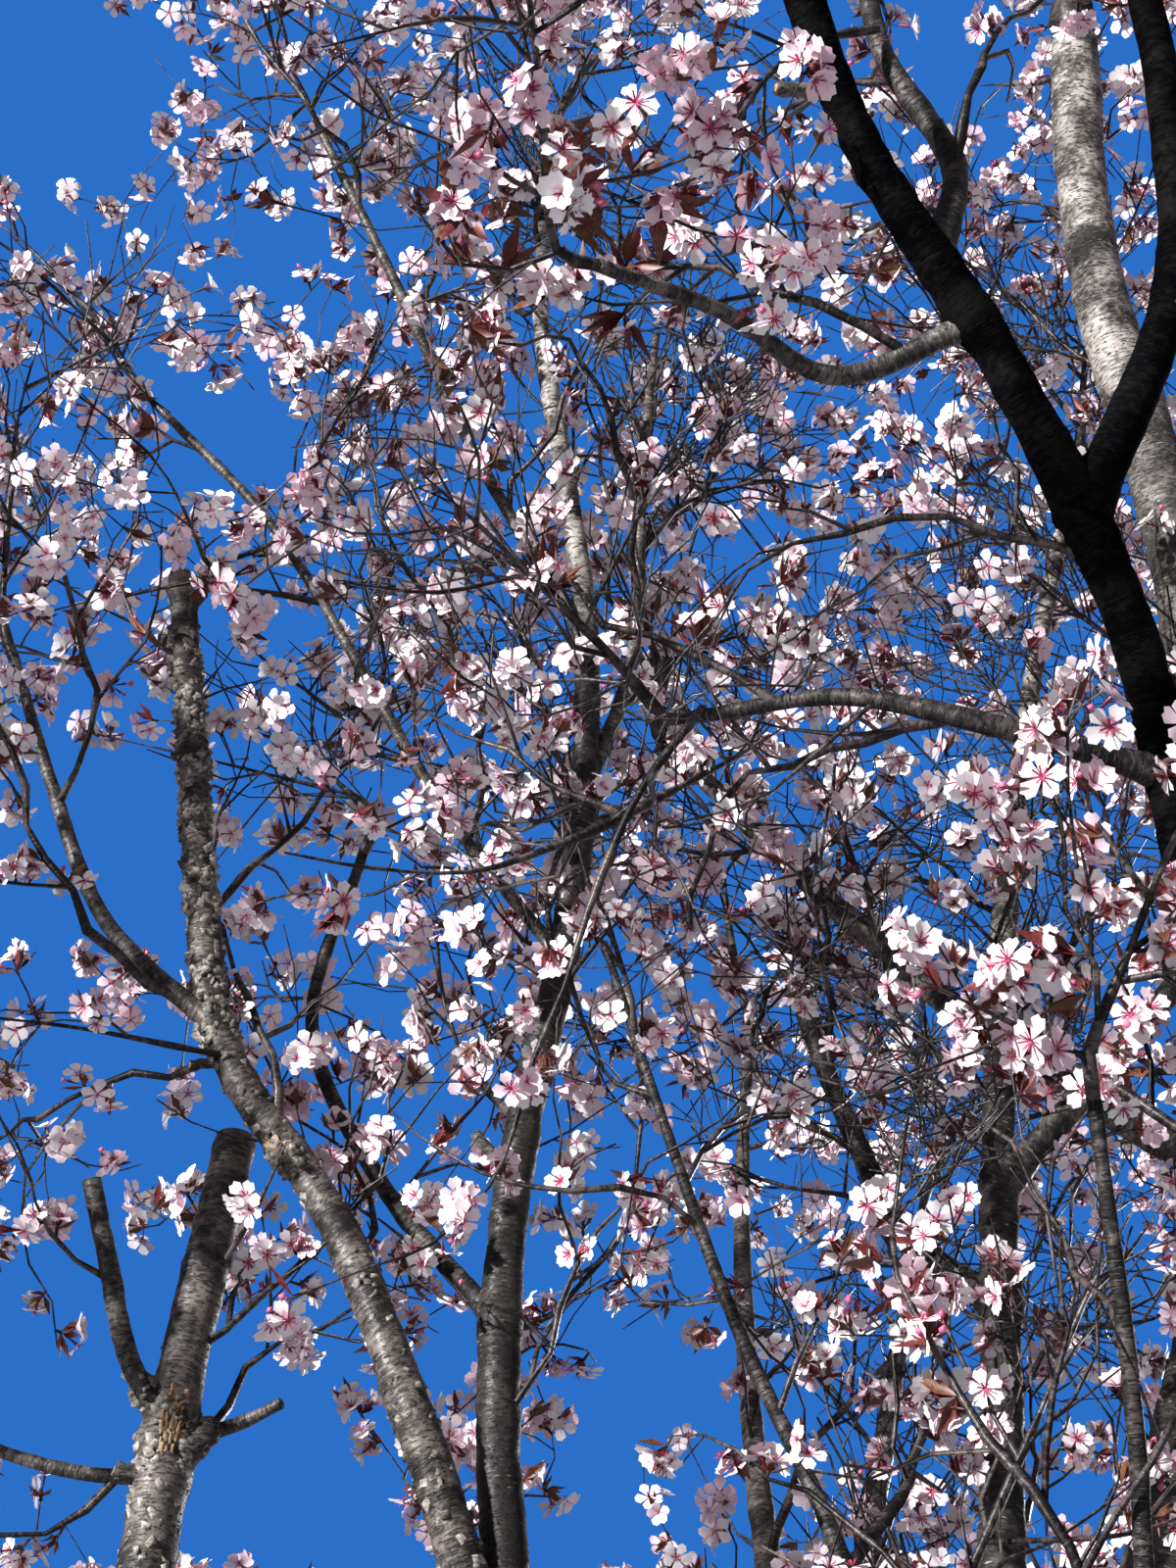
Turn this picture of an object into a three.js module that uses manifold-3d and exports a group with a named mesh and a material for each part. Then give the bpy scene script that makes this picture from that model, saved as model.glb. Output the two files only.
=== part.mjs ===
// A cherry blossom tree, in millimetres. +Z is up, and the origin is the middle of the flat cut under the
// trunk. A short flared trunk forks into ascending boughs. The boughs that aren't cut end in masses of twigs
// and blossom sprays.
import * as THREE from "three";
import { mergeVertices } from "three/addons/utils/BufferGeometryUtils.js";
import Module from "manifold-3d";

const wasm = await Module();
wasm.setup();

// The clearance left between two pieces that touch.
const SEAT_GAP = 0.3;

// Trunk. Its course is written as a limb's is.
const TRUNK_HEIGHT = 1500;
const TRUNK_RADIUS = 128;
const TRUNK_COURSE = [[110, 2], [200, 1]];
const TRUNK_SIDES = 15;
const TRUNK_STEPS = 9;
const ROOT_FLARE = 105;
const ROOT_FLARE_HEIGHT = 330;
const ROOT_RIDGES = 5;
const ROOT_RIDGE_SHARE = 0.24;
const CROTCH_DOME_SHARE = 0.16;
const CROTCH_TOP_SHARE = 0.45;

// Limbs. A course holds the limb's headings from foot to tip, evenly spaced: degrees round from +X, and lean
// from vertical. "at" is how far along the limb below the foot is, and foot and tip are the radii there.
const LIMBS = {
  leader_bough: { on: "trunk", at: 0.9, length: 4330, foot: 43, tip: 14,
    course: [[135, 13], [188, 5], [291, 6], [252, 9], [313, 16], [275, 14], [241, 22], [284, 23]] },
  left_bough: { on: "trunk", at: 0.77, length: 2640, foot: 54, tip: 31,
    course: [[188, 29], [180, 22], [173, 12], [275, 4], [309, 11]] },
  right_bough: { on: "trunk", at: 0.8, length: 4050, foot: 52, tip: 12,
    course: [[357, 34], [0, 7], [336, 8], [309, 27]] },
  front_right_bough: { on: "trunk", at: 0.84, length: 4370, foot: 43, tip: 19,
    course: [[333, 34], [324, 34], [306, 30], [286, 29], [257, 35], [227, 55], [258, 31], [115, 36]] },
  back_right_bough: { on: "trunk", at: 0.87, length: 5050, foot: 72, tip: 49,
    course: [[41, 28], [21, 26], [356, 24], [326, 22], [266, 29], [249, 27], [289, 23]] },
  back_bough: { on: "trunk", at: 0.9, length: 3830, foot: 50, tip: 14,
    course: [[67, 28], [57, 24]] },
  back_left_bough: { on: "trunk", at: 0.84, length: 2870, foot: 46, tip: 14,
    course: [[134, 32], [151, 48]] },
  front_left_bough: { on: "trunk", at: 0.8, length: 3010, foot: 46, tip: 14,
    course: [[220, 43], [206, 31]] },
  crossing_bough: { on: "leader_bough", at: 0.36, length: 1940, foot: 30, tip: 21,
    course: [[230, 34], [204, 21], [203, 39], [229, 15], [228, 13], [196, 11]] },
  crossing_left_branch: { on: "crossing_bough", at: 0.51, length: 720, foot: 15, tip: 9,
    course: [[200, 64], [219, 33], [230, 29]] },
  left_stub: { on: "left_bough", at: 0.82, length: 370, foot: 15, tip: 14,
    course: [[214, 47], [236, 31], [245, 36]] },
  left_low_branch: { on: "left_bough", at: 0.8, length: 330, foot: 11, tip: 8,
    course: [[178, 90], [192, 63]] },
  left_inner_branch: { on: "left_bough", at: 0.82, length: 160, foot: 12, tip: 8,
    course: [[36, 61], [319, 89]] },
  leader_low_branch: { on: "leader_bough", at: 0.47, length: 900, foot: 15, tip: 9,
    course: [[174, 26], [183, 46], [262, 18], [325, 32]] },
  leader_left_branch: { on: "leader_bough", at: 0.61, length: 1260, foot: 11, tip: 8,
    course: [[212, 50], [215, 31], [195, 46]] },
  leader_high_branch: { on: "leader_bough", at: 0.76, length: 1150, foot: 12, tip: 8,
    course: [[204, 36], [234, 44], [231, 41], [205, 23]] },
  leader_right_branch: { on: "leader_bough", at: 0.68, length: 1050, foot: 14, tip: 8,
    course: [[6, 20], [276, 28], [313, 9]] },
  right_near_branch: { on: "right_bough", at: 0.26, length: 670, foot: 13, tip: 9,
    course: [[307, 29], [242, 34]] },
  right_low_branch: { on: "right_bough", at: 0.31, length: 1630, foot: 15, tip: 6,
    course: [[256, 33], [229, 22], [179, 18], [200, 15], [217, 19]] },
  right_inner_branch: { on: "right_bough", at: 0.58, length: 670, foot: 22, tip: 14,
    course: [[130, 47], [203, 22], [218, 16]] },
  right_outer_branch: { on: "right_bough", at: 0.63, length: 1220, foot: 22, tip: 12,
    course: [[328, 55], [325, 48]] },
  back_right_inner_branch: { on: "back_right_bough", at: 0.54, length: 1150, foot: 29, tip: 16,
    course: [[193, 70], [188, 44], [208, 58], [150, 22]] },
  back_right_outer_branch: { on: "back_right_bough", at: 0.5, length: 1400, foot: 26, tip: 13,
    course: [[56, 64], [11, 25]] },
  front_right_fork: { on: "front_right_bough", at: 0.65, length: 1350, foot: 26, tip: 19,
    course: [[320, 46], [288, 21], [267, 23], [307, 44]] },
  front_right_grey_branch: { on: "front_right_bough", at: 0.73, length: 660, foot: 19, tip: 12,
    course: [[16, 48], [220, 31], [220, 19], [279, 33]] },
  front_right_left_branch: { on: "front_right_bough", at: 0.71, length: 510, foot: 14, tip: 8,
    course: [[123, 93], [202, 103], [231, 100], [190, 114]] },
  front_right_low_branch: { on: "front_right_bough", at: 0.58, length: 570, foot: 15, tip: 9,
    course: [[205, 104], [187, 67], [154, 59], [149, 76]] },
  front_right_near_branch: { on: "front_right_bough", at: 0.29, length: 930, foot: 12, tip: 7,
    course: [[258, 100], [271, 41], [259, 34]] },
  front_outer_branch: { on: "front_right_bough", at: 0.38, length: 1760, foot: 26, tip: 13,
    course: [[298, 82], [271, 30]] },
  back_inner_branch: { on: "back_bough", at: 0.5, length: 1860, foot: 28, tip: 13,
    course: [[119, 13], [29, 7]] },
  back_left_outer_branch: { on: "back_left_bough", at: 0.47, length: 1860, foot: 26, tip: 13,
    course: [[157, 42], [215, 31]] },
  front_left_inner_branch: { on: "front_left_bough", at: 0.42, length: 2360, foot: 27, tip: 13,
    course: [[234, 42], [268, 37]] },
};
const LIMB_STEP = 340;
const LIMB_FEWEST_STEPS = 3;
const STOUT_RADIUS = 30;
const STOUT_SIDES = 8;
const SLENDER_RADIUS = 18;
const SLENDER_SIDES = 5;
const OTHER_SIDES = 6;

// Masses of blossom at the tips of limbs. Each may fill a ball of this reach, whose centre lies towards the
// heading from the limb's tip.
const MASSES = {
  leader_bough: { reach: 850, toward: [350, 12] },
  right_bough: { reach: 750, toward: [330, 12] },
  front_right_bough: { reach: 800, toward: [240, 30] },
  back_right_bough: { reach: 800, toward: [300, 15] },
  back_bough: { reach: 1050, toward: [60, 35] },
  back_left_bough: { reach: 950, toward: [160, 45] },
  front_left_bough: { reach: 900, toward: [205, 25] },
  crossing_left_branch: { reach: 560, toward: [265, 30] },
  left_low_branch: { reach: 460, toward: [200, 40] },
  left_inner_branch: { reach: 360, toward: [262, 98] },
  leader_low_branch: { reach: 470, toward: [150, 30] },
  leader_left_branch: { reach: 560, toward: [200, 30] },
  leader_high_branch: { reach: 620, toward: [200, 32] },
  right_near_branch: { reach: 380, toward: [320, 35] },
  right_inner_branch: { reach: 500, toward: [80, 40] },
  right_outer_branch: { reach: 850, toward: [330, 30] },
  back_right_inner_branch: { reach: 720, toward: [60, 10] },
  back_right_outer_branch: { reach: 950, toward: [20, 25] },
  front_right_fork: { reach: 650, toward: [320, 35] },
  front_right_left_branch: { reach: 400, toward: [265, 110] },
  front_right_low_branch: { reach: 340, toward: [230, 80] },
  front_right_near_branch: { reach: 310, toward: [300, 50] },
  front_outer_branch: { reach: 800, toward: [290, 50] },
  back_inner_branch: { reach: 850, toward: [200, 6] },
  back_left_outer_branch: { reach: 950, toward: [190, 25] },
  front_left_inner_branch: { reach: 800, toward: [240, 25] },
};
const CROWN_FLOOR = 2500;
const BALL_CENTRE_SHARE = 0.62;
const STEM_LENGTH_SHARE = 1.45;
const STEM_STEPS = 4;
const STEM_STRAIGHT_SHARE = 0.4;
const STEM_STRAY = 0.35;
const TWIGS_AT_LEAST = 4;
const TWIGS_PER_REACH = 2.5 / 1000;
const TWIG_FIRST = 0.1;
const TWIG_SPAN = 0.8;
const TWIG_ANGLE_FIRST = 71;
const TWIG_ANGLE_LAST = 40;
const TWIG_TURN_SPREAD = 50;
const TWIG_LENGTH_SHARE = 0.95;
const TWIG_SHORTENING = 0.45;
const TWIG_STEPS = 2;
const TWIG_STRAY = 0.7;
const TWIG_LIFT = 0.1;
const TWIG_FOOT_SHARE = 0.5;
const TWIG_TIP_RADIUS = 4;
const GOLDEN_ANGLE = 137.5;
const SIZE_SPREAD = 0.3;
const SPRAYS_ON_STEM = 3;
const SPRAYS_ON_TWIG = 2;
const SPRAY_LAST = 0.97;
const SPRAY_SPAN = 0.78;
const SPRAY_OUTWARDS = 0.9;
const SPRAY_FORWARDS = 0.2;
const END_SPRAY_FORWARDS = 0.8;
const SPRAY_RADIUS_SHARE = 0.2;
const SPRAY_DEPTH_SHARE = 0.75;
const SPRAY_DISH_SHARE = 0.34;
const SPRAY_CORNERS = 4;
const SPRAY_SPACING_SHARE = 1.1;
const SPRAY_MIDDLE_SHARE = 0.6;
const SPRAY_BALL_SHARE = 1.05;
const SPRAY_SINK = 3;

const BARK_COLOUR = 0x5d534b;
const BLOSSOM_COLOUR = 0xf1d2da;
const UP = new THREE.Vector3(0, 0, 1);

// A repeatable stream of numbers from 0 to 1.
function seeded(seed) {
  let state = seed;
  return () => {
    state = (state * 1664525 + 1013904223) % 4294967296;
    return state / 4294967296;
  };
}

// A size that varies evenly about 1.
function sizeSpread(random) {
  return 1 + SIZE_SPREAD * (random() - 0.5);
}

function headingVector([round, lean]) {
  const a = THREE.MathUtils.degToRad(round);
  const l = THREE.MathUtils.degToRad(lean);
  return new THREE.Vector3(Math.cos(a) * Math.sin(l), Math.sin(a) * Math.sin(l), Math.cos(l));
}

// The points of a limb that follows its course in even steps.
function coursePoints(start, course, length, steps) {
  const headings = course.map(headingVector);
  const points = [start.clone()];
  for (let i = 0; i < steps; i++) {
    const place = ((i + 0.5) / steps) * (headings.length - 1);
    const before = Math.min(Math.floor(place), headings.length - 2);
    const along = headings[before].clone().lerp(headings[before + 1], place - before).normalize();
    points.push(points[i].clone().addScaledVector(along, length / steps));
  }
  return points;
}

// The points of a twig that sets off along a heading, strays after each step and is drawn upwards.
function strayingPoints(start, heading, length, steps, stray, lift, random) {
  const points = [start.clone()];
  const along = heading.clone();
  for (let i = 0; i < steps; i++) {
    points.push(points[i].clone().addScaledVector(along, length / steps));
    along.x += stray * (random() - 0.5);
    along.y += stray * (random() - 0.5);
    along.z += stray * (random() - 0.5) + lift;
    along.normalize();
  }
  return points;
}

function placeOn(points, share) {
  const place = share * (points.length - 1);
  const before = Math.min(Math.floor(place), points.length - 2);
  return points[before].clone().lerp(points[before + 1], place - before);
}

function directionOn(points, share) {
  const before = Math.min(Math.floor(share * (points.length - 1)), points.length - 2);
  return points[before + 1].clone().sub(points[before]).normalize();
}

// The side of a direction that is turned round it by an angle in degrees.
function sideOf(along, turn) {
  const across = Math.abs(along.z) > 0.9 ? new THREE.Vector3(1, 0, 0) : UP;
  return new THREE.Vector3()
    .crossVectors(along, across)
    .normalize()
    .applyAxisAngle(along, THREE.MathUtils.degToRad(turn));
}

function toSolid(geometry) {
  geometry.deleteAttribute("normal");
  geometry.deleteAttribute("uv");
  const merged = mergeVertices(geometry, 1e-4);
  return new wasm.Manifold(
    new wasm.Mesh({
      numProp: 3,
      vertProperties: new Float32Array(merged.attributes.position.array),
      triVerts: new Uint32Array(merged.index.array),
    }),
  );
}

// A round bar along the points. radiusAt gives its radius from the share of its length and the angle round
// it. A level bar keeps its rings flat, so that its foot stands on the ground.
function barSolid(points, sides, radiusAt, isLevel = false) {
  const steps = points.length - 1;
  const geometry = new THREE.CylinderGeometry(1, 1, 1, sides, steps);
  const position = geometry.attributes.position;
  let side = sideOf(directionOn(points, 0), 0);
  const frames = points.map((point, i) => {
    const ahead = points[Math.min(i + 1, steps)];
    const behind = points[Math.max(i - 1, 0)];
    const along = isLevel ? UP : ahead.clone().sub(behind).normalize();
    side = side.clone().addScaledVector(along, -side.dot(along)).normalize();
    return { point, side, other: new THREE.Vector3().crossVectors(side, along) };
  });
  for (let i = 0; i < position.count; i++) {
    const x = position.getX(i);
    const z = position.getZ(i);
    const share = position.getY(i) + 0.5;
    const frame = frames[Math.round(share * steps)];
    const radius = radiusAt(share, Math.atan2(z, x));
    const place = frame.point
      .clone()
      .addScaledVector(frame.side, x * radius)
      .addScaledVector(frame.other, z * radius);
    position.setXYZ(i, place.x, place.y, place.z);
  }
  return toSolid(geometry);
}

const trunkPoints = coursePoints(new THREE.Vector3(), TRUNK_COURSE, TRUNK_HEIGHT, TRUNK_STEPS);

// The trunk's radius: root ridges that fade upwards, an even taper, and a dome where the boughs part.
function trunkRadius(share, angle) {
  const fading = Math.exp((-share * TRUNK_HEIGHT) / ROOT_FLARE_HEIGHT);
  const ridges = 1 + ROOT_RIDGE_SHARE * Math.cos(ROOT_RIDGES * angle) * fading;
  const dome = Math.max(0, (share - 1 + CROTCH_DOME_SHARE) / CROTCH_DOME_SHARE);
  return (TRUNK_RADIUS + ROOT_FLARE * fading) * ridges * (1 - (1 - CROTCH_TOP_SHARE) * dome * dome);
}

function trunkSolid(extra) {
  const points = trunkPoints.map((p) => p.clone());
  points[0].z -= extra;
  points[TRUNK_STEPS].z += extra;
  return barSolid(points, TRUNK_SIDES, (share, angle) => trunkRadius(share, angle) + extra, true);
}

// Where each limb runs. A limb is listed after the limb that carries it.
const runs = { trunk: { points: trunkPoints, radius: (share) => trunkRadius(share, 0) } };
for (const [name, limb] of Object.entries(LIMBS)) {
  const start = placeOn(runs[limb.on].points, limb.at);
  const steps = Math.max(LIMB_FEWEST_STEPS, Math.round(limb.length / LIMB_STEP));
  runs[name] = {
    points: coursePoints(start, limb.course, limb.length, steps),
    radius: (share) => limb.foot + (limb.tip - limb.foot) * share,
  };
}

function limbSides(radius) {
  if (radius > STOUT_RADIUS) return STOUT_SIDES;
  return radius < SLENDER_RADIUS ? SLENDER_SIDES : OTHER_SIDES;
}

function limbSolid(name, extra) {
  if (name === "trunk") return trunkSolid(extra);
  const { points, radius } = runs[name];
  const last = points.length - 1;
  const grown = points.map((p) => p.clone());
  grown[0].addScaledVector(directionOn(points, 0), -extra);
  grown[last].addScaledVector(directionOn(points, 1), extra);
  return barSolid(grown, limbSides(LIMBS[name].foot), (share) => radius(share) + extra);
}

function largestPiece(solid) {
  return solid.decompose().sort((a, b) => b.volume() - a.volume())[0];
}

// Every limb is cut where it meets the limbs before it, so that they seat face to face.
const solids = {};
const cutters = {};
for (const name of Object.keys(runs)) {
  let solid = limbSolid(name, 0);
  for (const cutter of Object.values(cutters)) {
    if (solid.intersect(cutter).volume() > 0) solid = largestPiece(solid.subtract(cutter));
  }
  solids[name] = solid;
  cutters[name] = limbSolid(name, SEAT_GAP);
}

// The ball that each mass may fill.
const masses = Object.entries(MASSES).map(([limb, { reach, toward }], index) => {
  const points = runs[limb].points;
  const heading = directionOn(points, 1);
  const start = points[points.length - 1].clone().addScaledVector(heading, SEAT_GAP);
  const middle = headingVector(toward);
  const centre = start.clone().addScaledVector(middle, reach * BALL_CENTRE_SHARE);
  const name = limb.replace(/_bough$|_branch$/, "") + "_blossom";
  return { name, limb, reach, index, heading, middle, start, centre };
});

function distanceToSegment(p, a, b) {
  return new THREE.Line3(a, b).closestPointToPoint(p, true, new THREE.Vector3()).distanceTo(p);
}

// Whether a ball of this size lies in the mass's own space: inside its reach, above the crown's floor, nearer
// to its own centre than to its neighbours' (counted in reaches), and clear of every limb but the one left
// out.
function isFree(mass, place, size, leftOut) {
  const clear = size + SEAT_GAP;
  if (place.z - clear < CROWN_FLOOR) return false;
  const own = (place.distanceTo(mass.centre) + clear) / mass.reach;
  if (own > 1) return false;
  for (const other of masses) {
    if (other === mass) continue;
    if ((place.distanceTo(other.centre) - clear) / other.reach < own) return false;
  }
  for (const [name, { points, radius }] of Object.entries(runs)) {
    if (name === leftOut) continue;
    for (let i = 0; i < points.length - 1; i++) {
      const widest = radius(i / (points.length - 1));
      if (distanceToSegment(place, points[i], points[i + 1]) < widest + clear) return false;
    }
  }
  return true;
}

// The straight steps of a twig, up to the first that would leave the mass's space.
function freeStretch(mass, points, size, leftOut) {
  let count = 1;
  while (count < points.length) {
    const before = points[count - 1];
    const isStepFree = [0.25, 0.5, 0.75, 1].every((share) =>
      isFree(mass, before.clone().lerp(points[count], share), size, leftOut),
    );
    if (!isStepFree) break;
    count++;
  }
  return points.slice(0, count);
}

// A mass's stem, which leaves the limb straight and turns towards the middle of the mass, and its side
// twigs, which leave it round a golden spiral and are shorter and steeper towards its tip.
function growTwigs(mass) {
  const random = seeded(1000 + mass.index);
  const limb = LIMBS[mass.limb];
  const stemLength = mass.reach * STEM_LENGTH_SHARE;
  const straight = (stemLength / STEM_STEPS) * STEM_STRAIGHT_SHARE;
  const bend = mass.start.clone().addScaledVector(mass.heading, straight);
  const rest = stemLength - straight;
  const whole = [mass.start.clone()];
  whole.push(...strayingPoints(bend, mass.middle, rest, STEM_STEPS, STEM_STRAY, 0, random));
  const stem = freeStretch(mass, whole, limb.tip, mass.limb);
  const stemRadius = (share) => limb.tip + (TWIG_TIP_RADIUS - limb.tip) * share;
  const twigs = [{ points: stem, foot: limb.tip, tip: TWIG_TIP_RADIUS, sprays: SPRAYS_ON_STEM }];
  const count = TWIGS_AT_LEAST + Math.round(mass.reach * TWIGS_PER_REACH);
  for (let k = 0; k < count; k++) {
    const share = TWIG_FIRST + (TWIG_SPAN * (k + 0.5)) / count;
    const along = directionOn(stem, share);
    const side = sideOf(along, k * GOLDEN_ANGLE + TWIG_TURN_SPREAD * (random() - 0.5));
    const angle = THREE.MathUtils.degToRad(THREE.MathUtils.lerp(TWIG_ANGLE_FIRST, TWIG_ANGLE_LAST, share));
    const heading = along.multiplyScalar(Math.cos(angle)).addScaledVector(side, Math.sin(angle));
    const length = mass.reach * TWIG_LENGTH_SHARE * (1 - TWIG_SHORTENING * share) * sizeSpread(random);
    const foot = placeOn(stem, share);
    const radius = Math.max(TWIG_TIP_RADIUS, stemRadius(share) * TWIG_FOOT_SHARE);
    const points = strayingPoints(foot, heading, length, TWIG_STEPS, TWIG_STRAY, TWIG_LIFT, random);
    const free = freeStretch(mass, points, radius, "");
    if (free.length < 2) continue;
    twigs.push({ points: free, foot: radius, tip: TWIG_TIP_RADIUS, sprays: SPRAYS_ON_TWIG });
  }
  return twigs;
}

// A spray of blossom: a cornered dish whose pointed foot is sunk in its twig.
function spraySolid({ foot, facing, radius }) {
  const depth = radius * SPRAY_DEPTH_SHARE;
  const geometry = new THREE.ConeGeometry(radius, depth, SPRAY_CORNERS);
  const position = geometry.attributes.position;
  for (let i = 0; i < position.count; i++) {
    const isOnAxis = Math.hypot(position.getX(i), position.getZ(i)) < 1e-6;
    if (isOnAxis && position.getY(i) < 0) position.setY(i, position.getY(i) + depth * SPRAY_DISH_SHARE);
  }
  geometry.translate(0, -depth / 2 + SPRAY_SINK, 0);
  const turn = new THREE.Quaternion().setFromUnitVectors(new THREE.Vector3(0, -1, 0), facing);
  geometry.applyQuaternion(turn).translate(foot.x, foot.y, foot.z);
  return toSolid(geometry);
}

// The sprays on a twig: one near its tip and the others evenly behind it, each facing aside and out of the
// mass. Places taken by the mass's earlier sprays are passed over.
function growSprays(mass, points, count, taken, random) {
  const sprays = [];
  for (let k = 0; k < count; k++) {
    const share = SPRAY_LAST - (SPRAY_SPAN * k) / count;
    const foot = placeOn(points, share);
    const along = directionOn(points, share);
    const outwards = foot.clone().sub(mass.centre).normalize();
    const facing = sideOf(along, 360 * random())
      .addScaledVector(outwards, SPRAY_OUTWARDS)
      .addScaledVector(along, k === 0 ? END_SPRAY_FORWARDS : SPRAY_FORWARDS)
      .normalize();
    const usual = mass.reach * SPRAY_RADIUS_SHARE;
    const radius = usual * sizeSpread(random);
    const middle = foot.clone().addScaledVector(facing, radius * SPRAY_DEPTH_SHARE * SPRAY_MIDDLE_SHARE);
    if (taken.some((other) => other.distanceTo(middle) < usual * SPRAY_SPACING_SHARE)) continue;
    if (!isFree(mass, middle, radius * SPRAY_BALL_SHARE, "")) continue;
    taken.push(middle);
    sprays.push({ foot, facing, radius });
  }
  return sprays;
}

function massSolid(mass) {
  const random = seeded(5000 + mass.index);
  const taken = [];
  const parts = [];
  for (const { points, foot, tip, sprays } of growTwigs(mass)) {
    parts.push(barSolid(points, 3, (share) => foot + (tip - foot) * share));
    parts.push(...growSprays(mass, points, sprays, taken, random).map(spraySolid));
  }
  return largestPiece(wasm.Manifold.union(parts));
}

for (const mass of masses) solids[mass.name] = massSolid(mass);

// One named mesh for each solid, coloured as bark or blossom.
function toMesh(name, solid) {
  const { vertProperties, triVerts } = solid.getMesh();
  const geometry = new THREE.BufferGeometry();
  geometry.setAttribute("position", new THREE.BufferAttribute(new Float32Array(vertProperties), 3));
  geometry.setIndex(new THREE.BufferAttribute(new Uint32Array(triVerts), 1));
  geometry.computeVertexNormals();
  const isBlossom = name.endsWith("_blossom");
  const material = new THREE.MeshStandardMaterial({
    color: isBlossom ? BLOSSOM_COLOUR : BARK_COLOUR,
    roughness: isBlossom ? 0.7 : 0.55,
    metalness: 0,
  });
  const mesh = new THREE.Mesh(geometry, material);
  mesh.name = name;
  return mesh;
}

const tree = new THREE.Group();
tree.name = "cherry_blossom_tree";
for (const [name, solid] of Object.entries(solids)) tree.add(toMesh(name, solid));

export default tree;
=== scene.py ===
import math

import bpy
import numpy as np
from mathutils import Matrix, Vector


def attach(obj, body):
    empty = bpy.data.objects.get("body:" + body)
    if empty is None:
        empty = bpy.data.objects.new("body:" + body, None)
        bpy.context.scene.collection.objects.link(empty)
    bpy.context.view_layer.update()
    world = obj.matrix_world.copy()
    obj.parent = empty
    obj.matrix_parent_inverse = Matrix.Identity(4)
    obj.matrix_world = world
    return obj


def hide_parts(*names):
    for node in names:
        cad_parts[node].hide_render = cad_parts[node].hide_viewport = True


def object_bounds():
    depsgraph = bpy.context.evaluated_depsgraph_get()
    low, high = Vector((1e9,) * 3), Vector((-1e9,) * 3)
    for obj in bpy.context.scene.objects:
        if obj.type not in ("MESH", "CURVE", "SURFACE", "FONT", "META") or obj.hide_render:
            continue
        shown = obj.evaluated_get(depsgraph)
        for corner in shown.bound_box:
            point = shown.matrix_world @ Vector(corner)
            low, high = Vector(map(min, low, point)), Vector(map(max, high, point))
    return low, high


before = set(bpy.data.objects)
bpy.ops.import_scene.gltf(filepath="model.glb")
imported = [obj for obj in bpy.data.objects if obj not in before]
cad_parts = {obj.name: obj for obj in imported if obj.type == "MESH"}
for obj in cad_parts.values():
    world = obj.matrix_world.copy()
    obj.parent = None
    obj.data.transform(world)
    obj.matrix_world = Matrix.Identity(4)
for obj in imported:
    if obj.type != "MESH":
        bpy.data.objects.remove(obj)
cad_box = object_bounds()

# A cherry blossom tree in full flower, in metres. The limbs and the masses are the solids' own, grown again
# from the same named sizes and carried to finer twigs, flowers, buds and young leaves.

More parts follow.
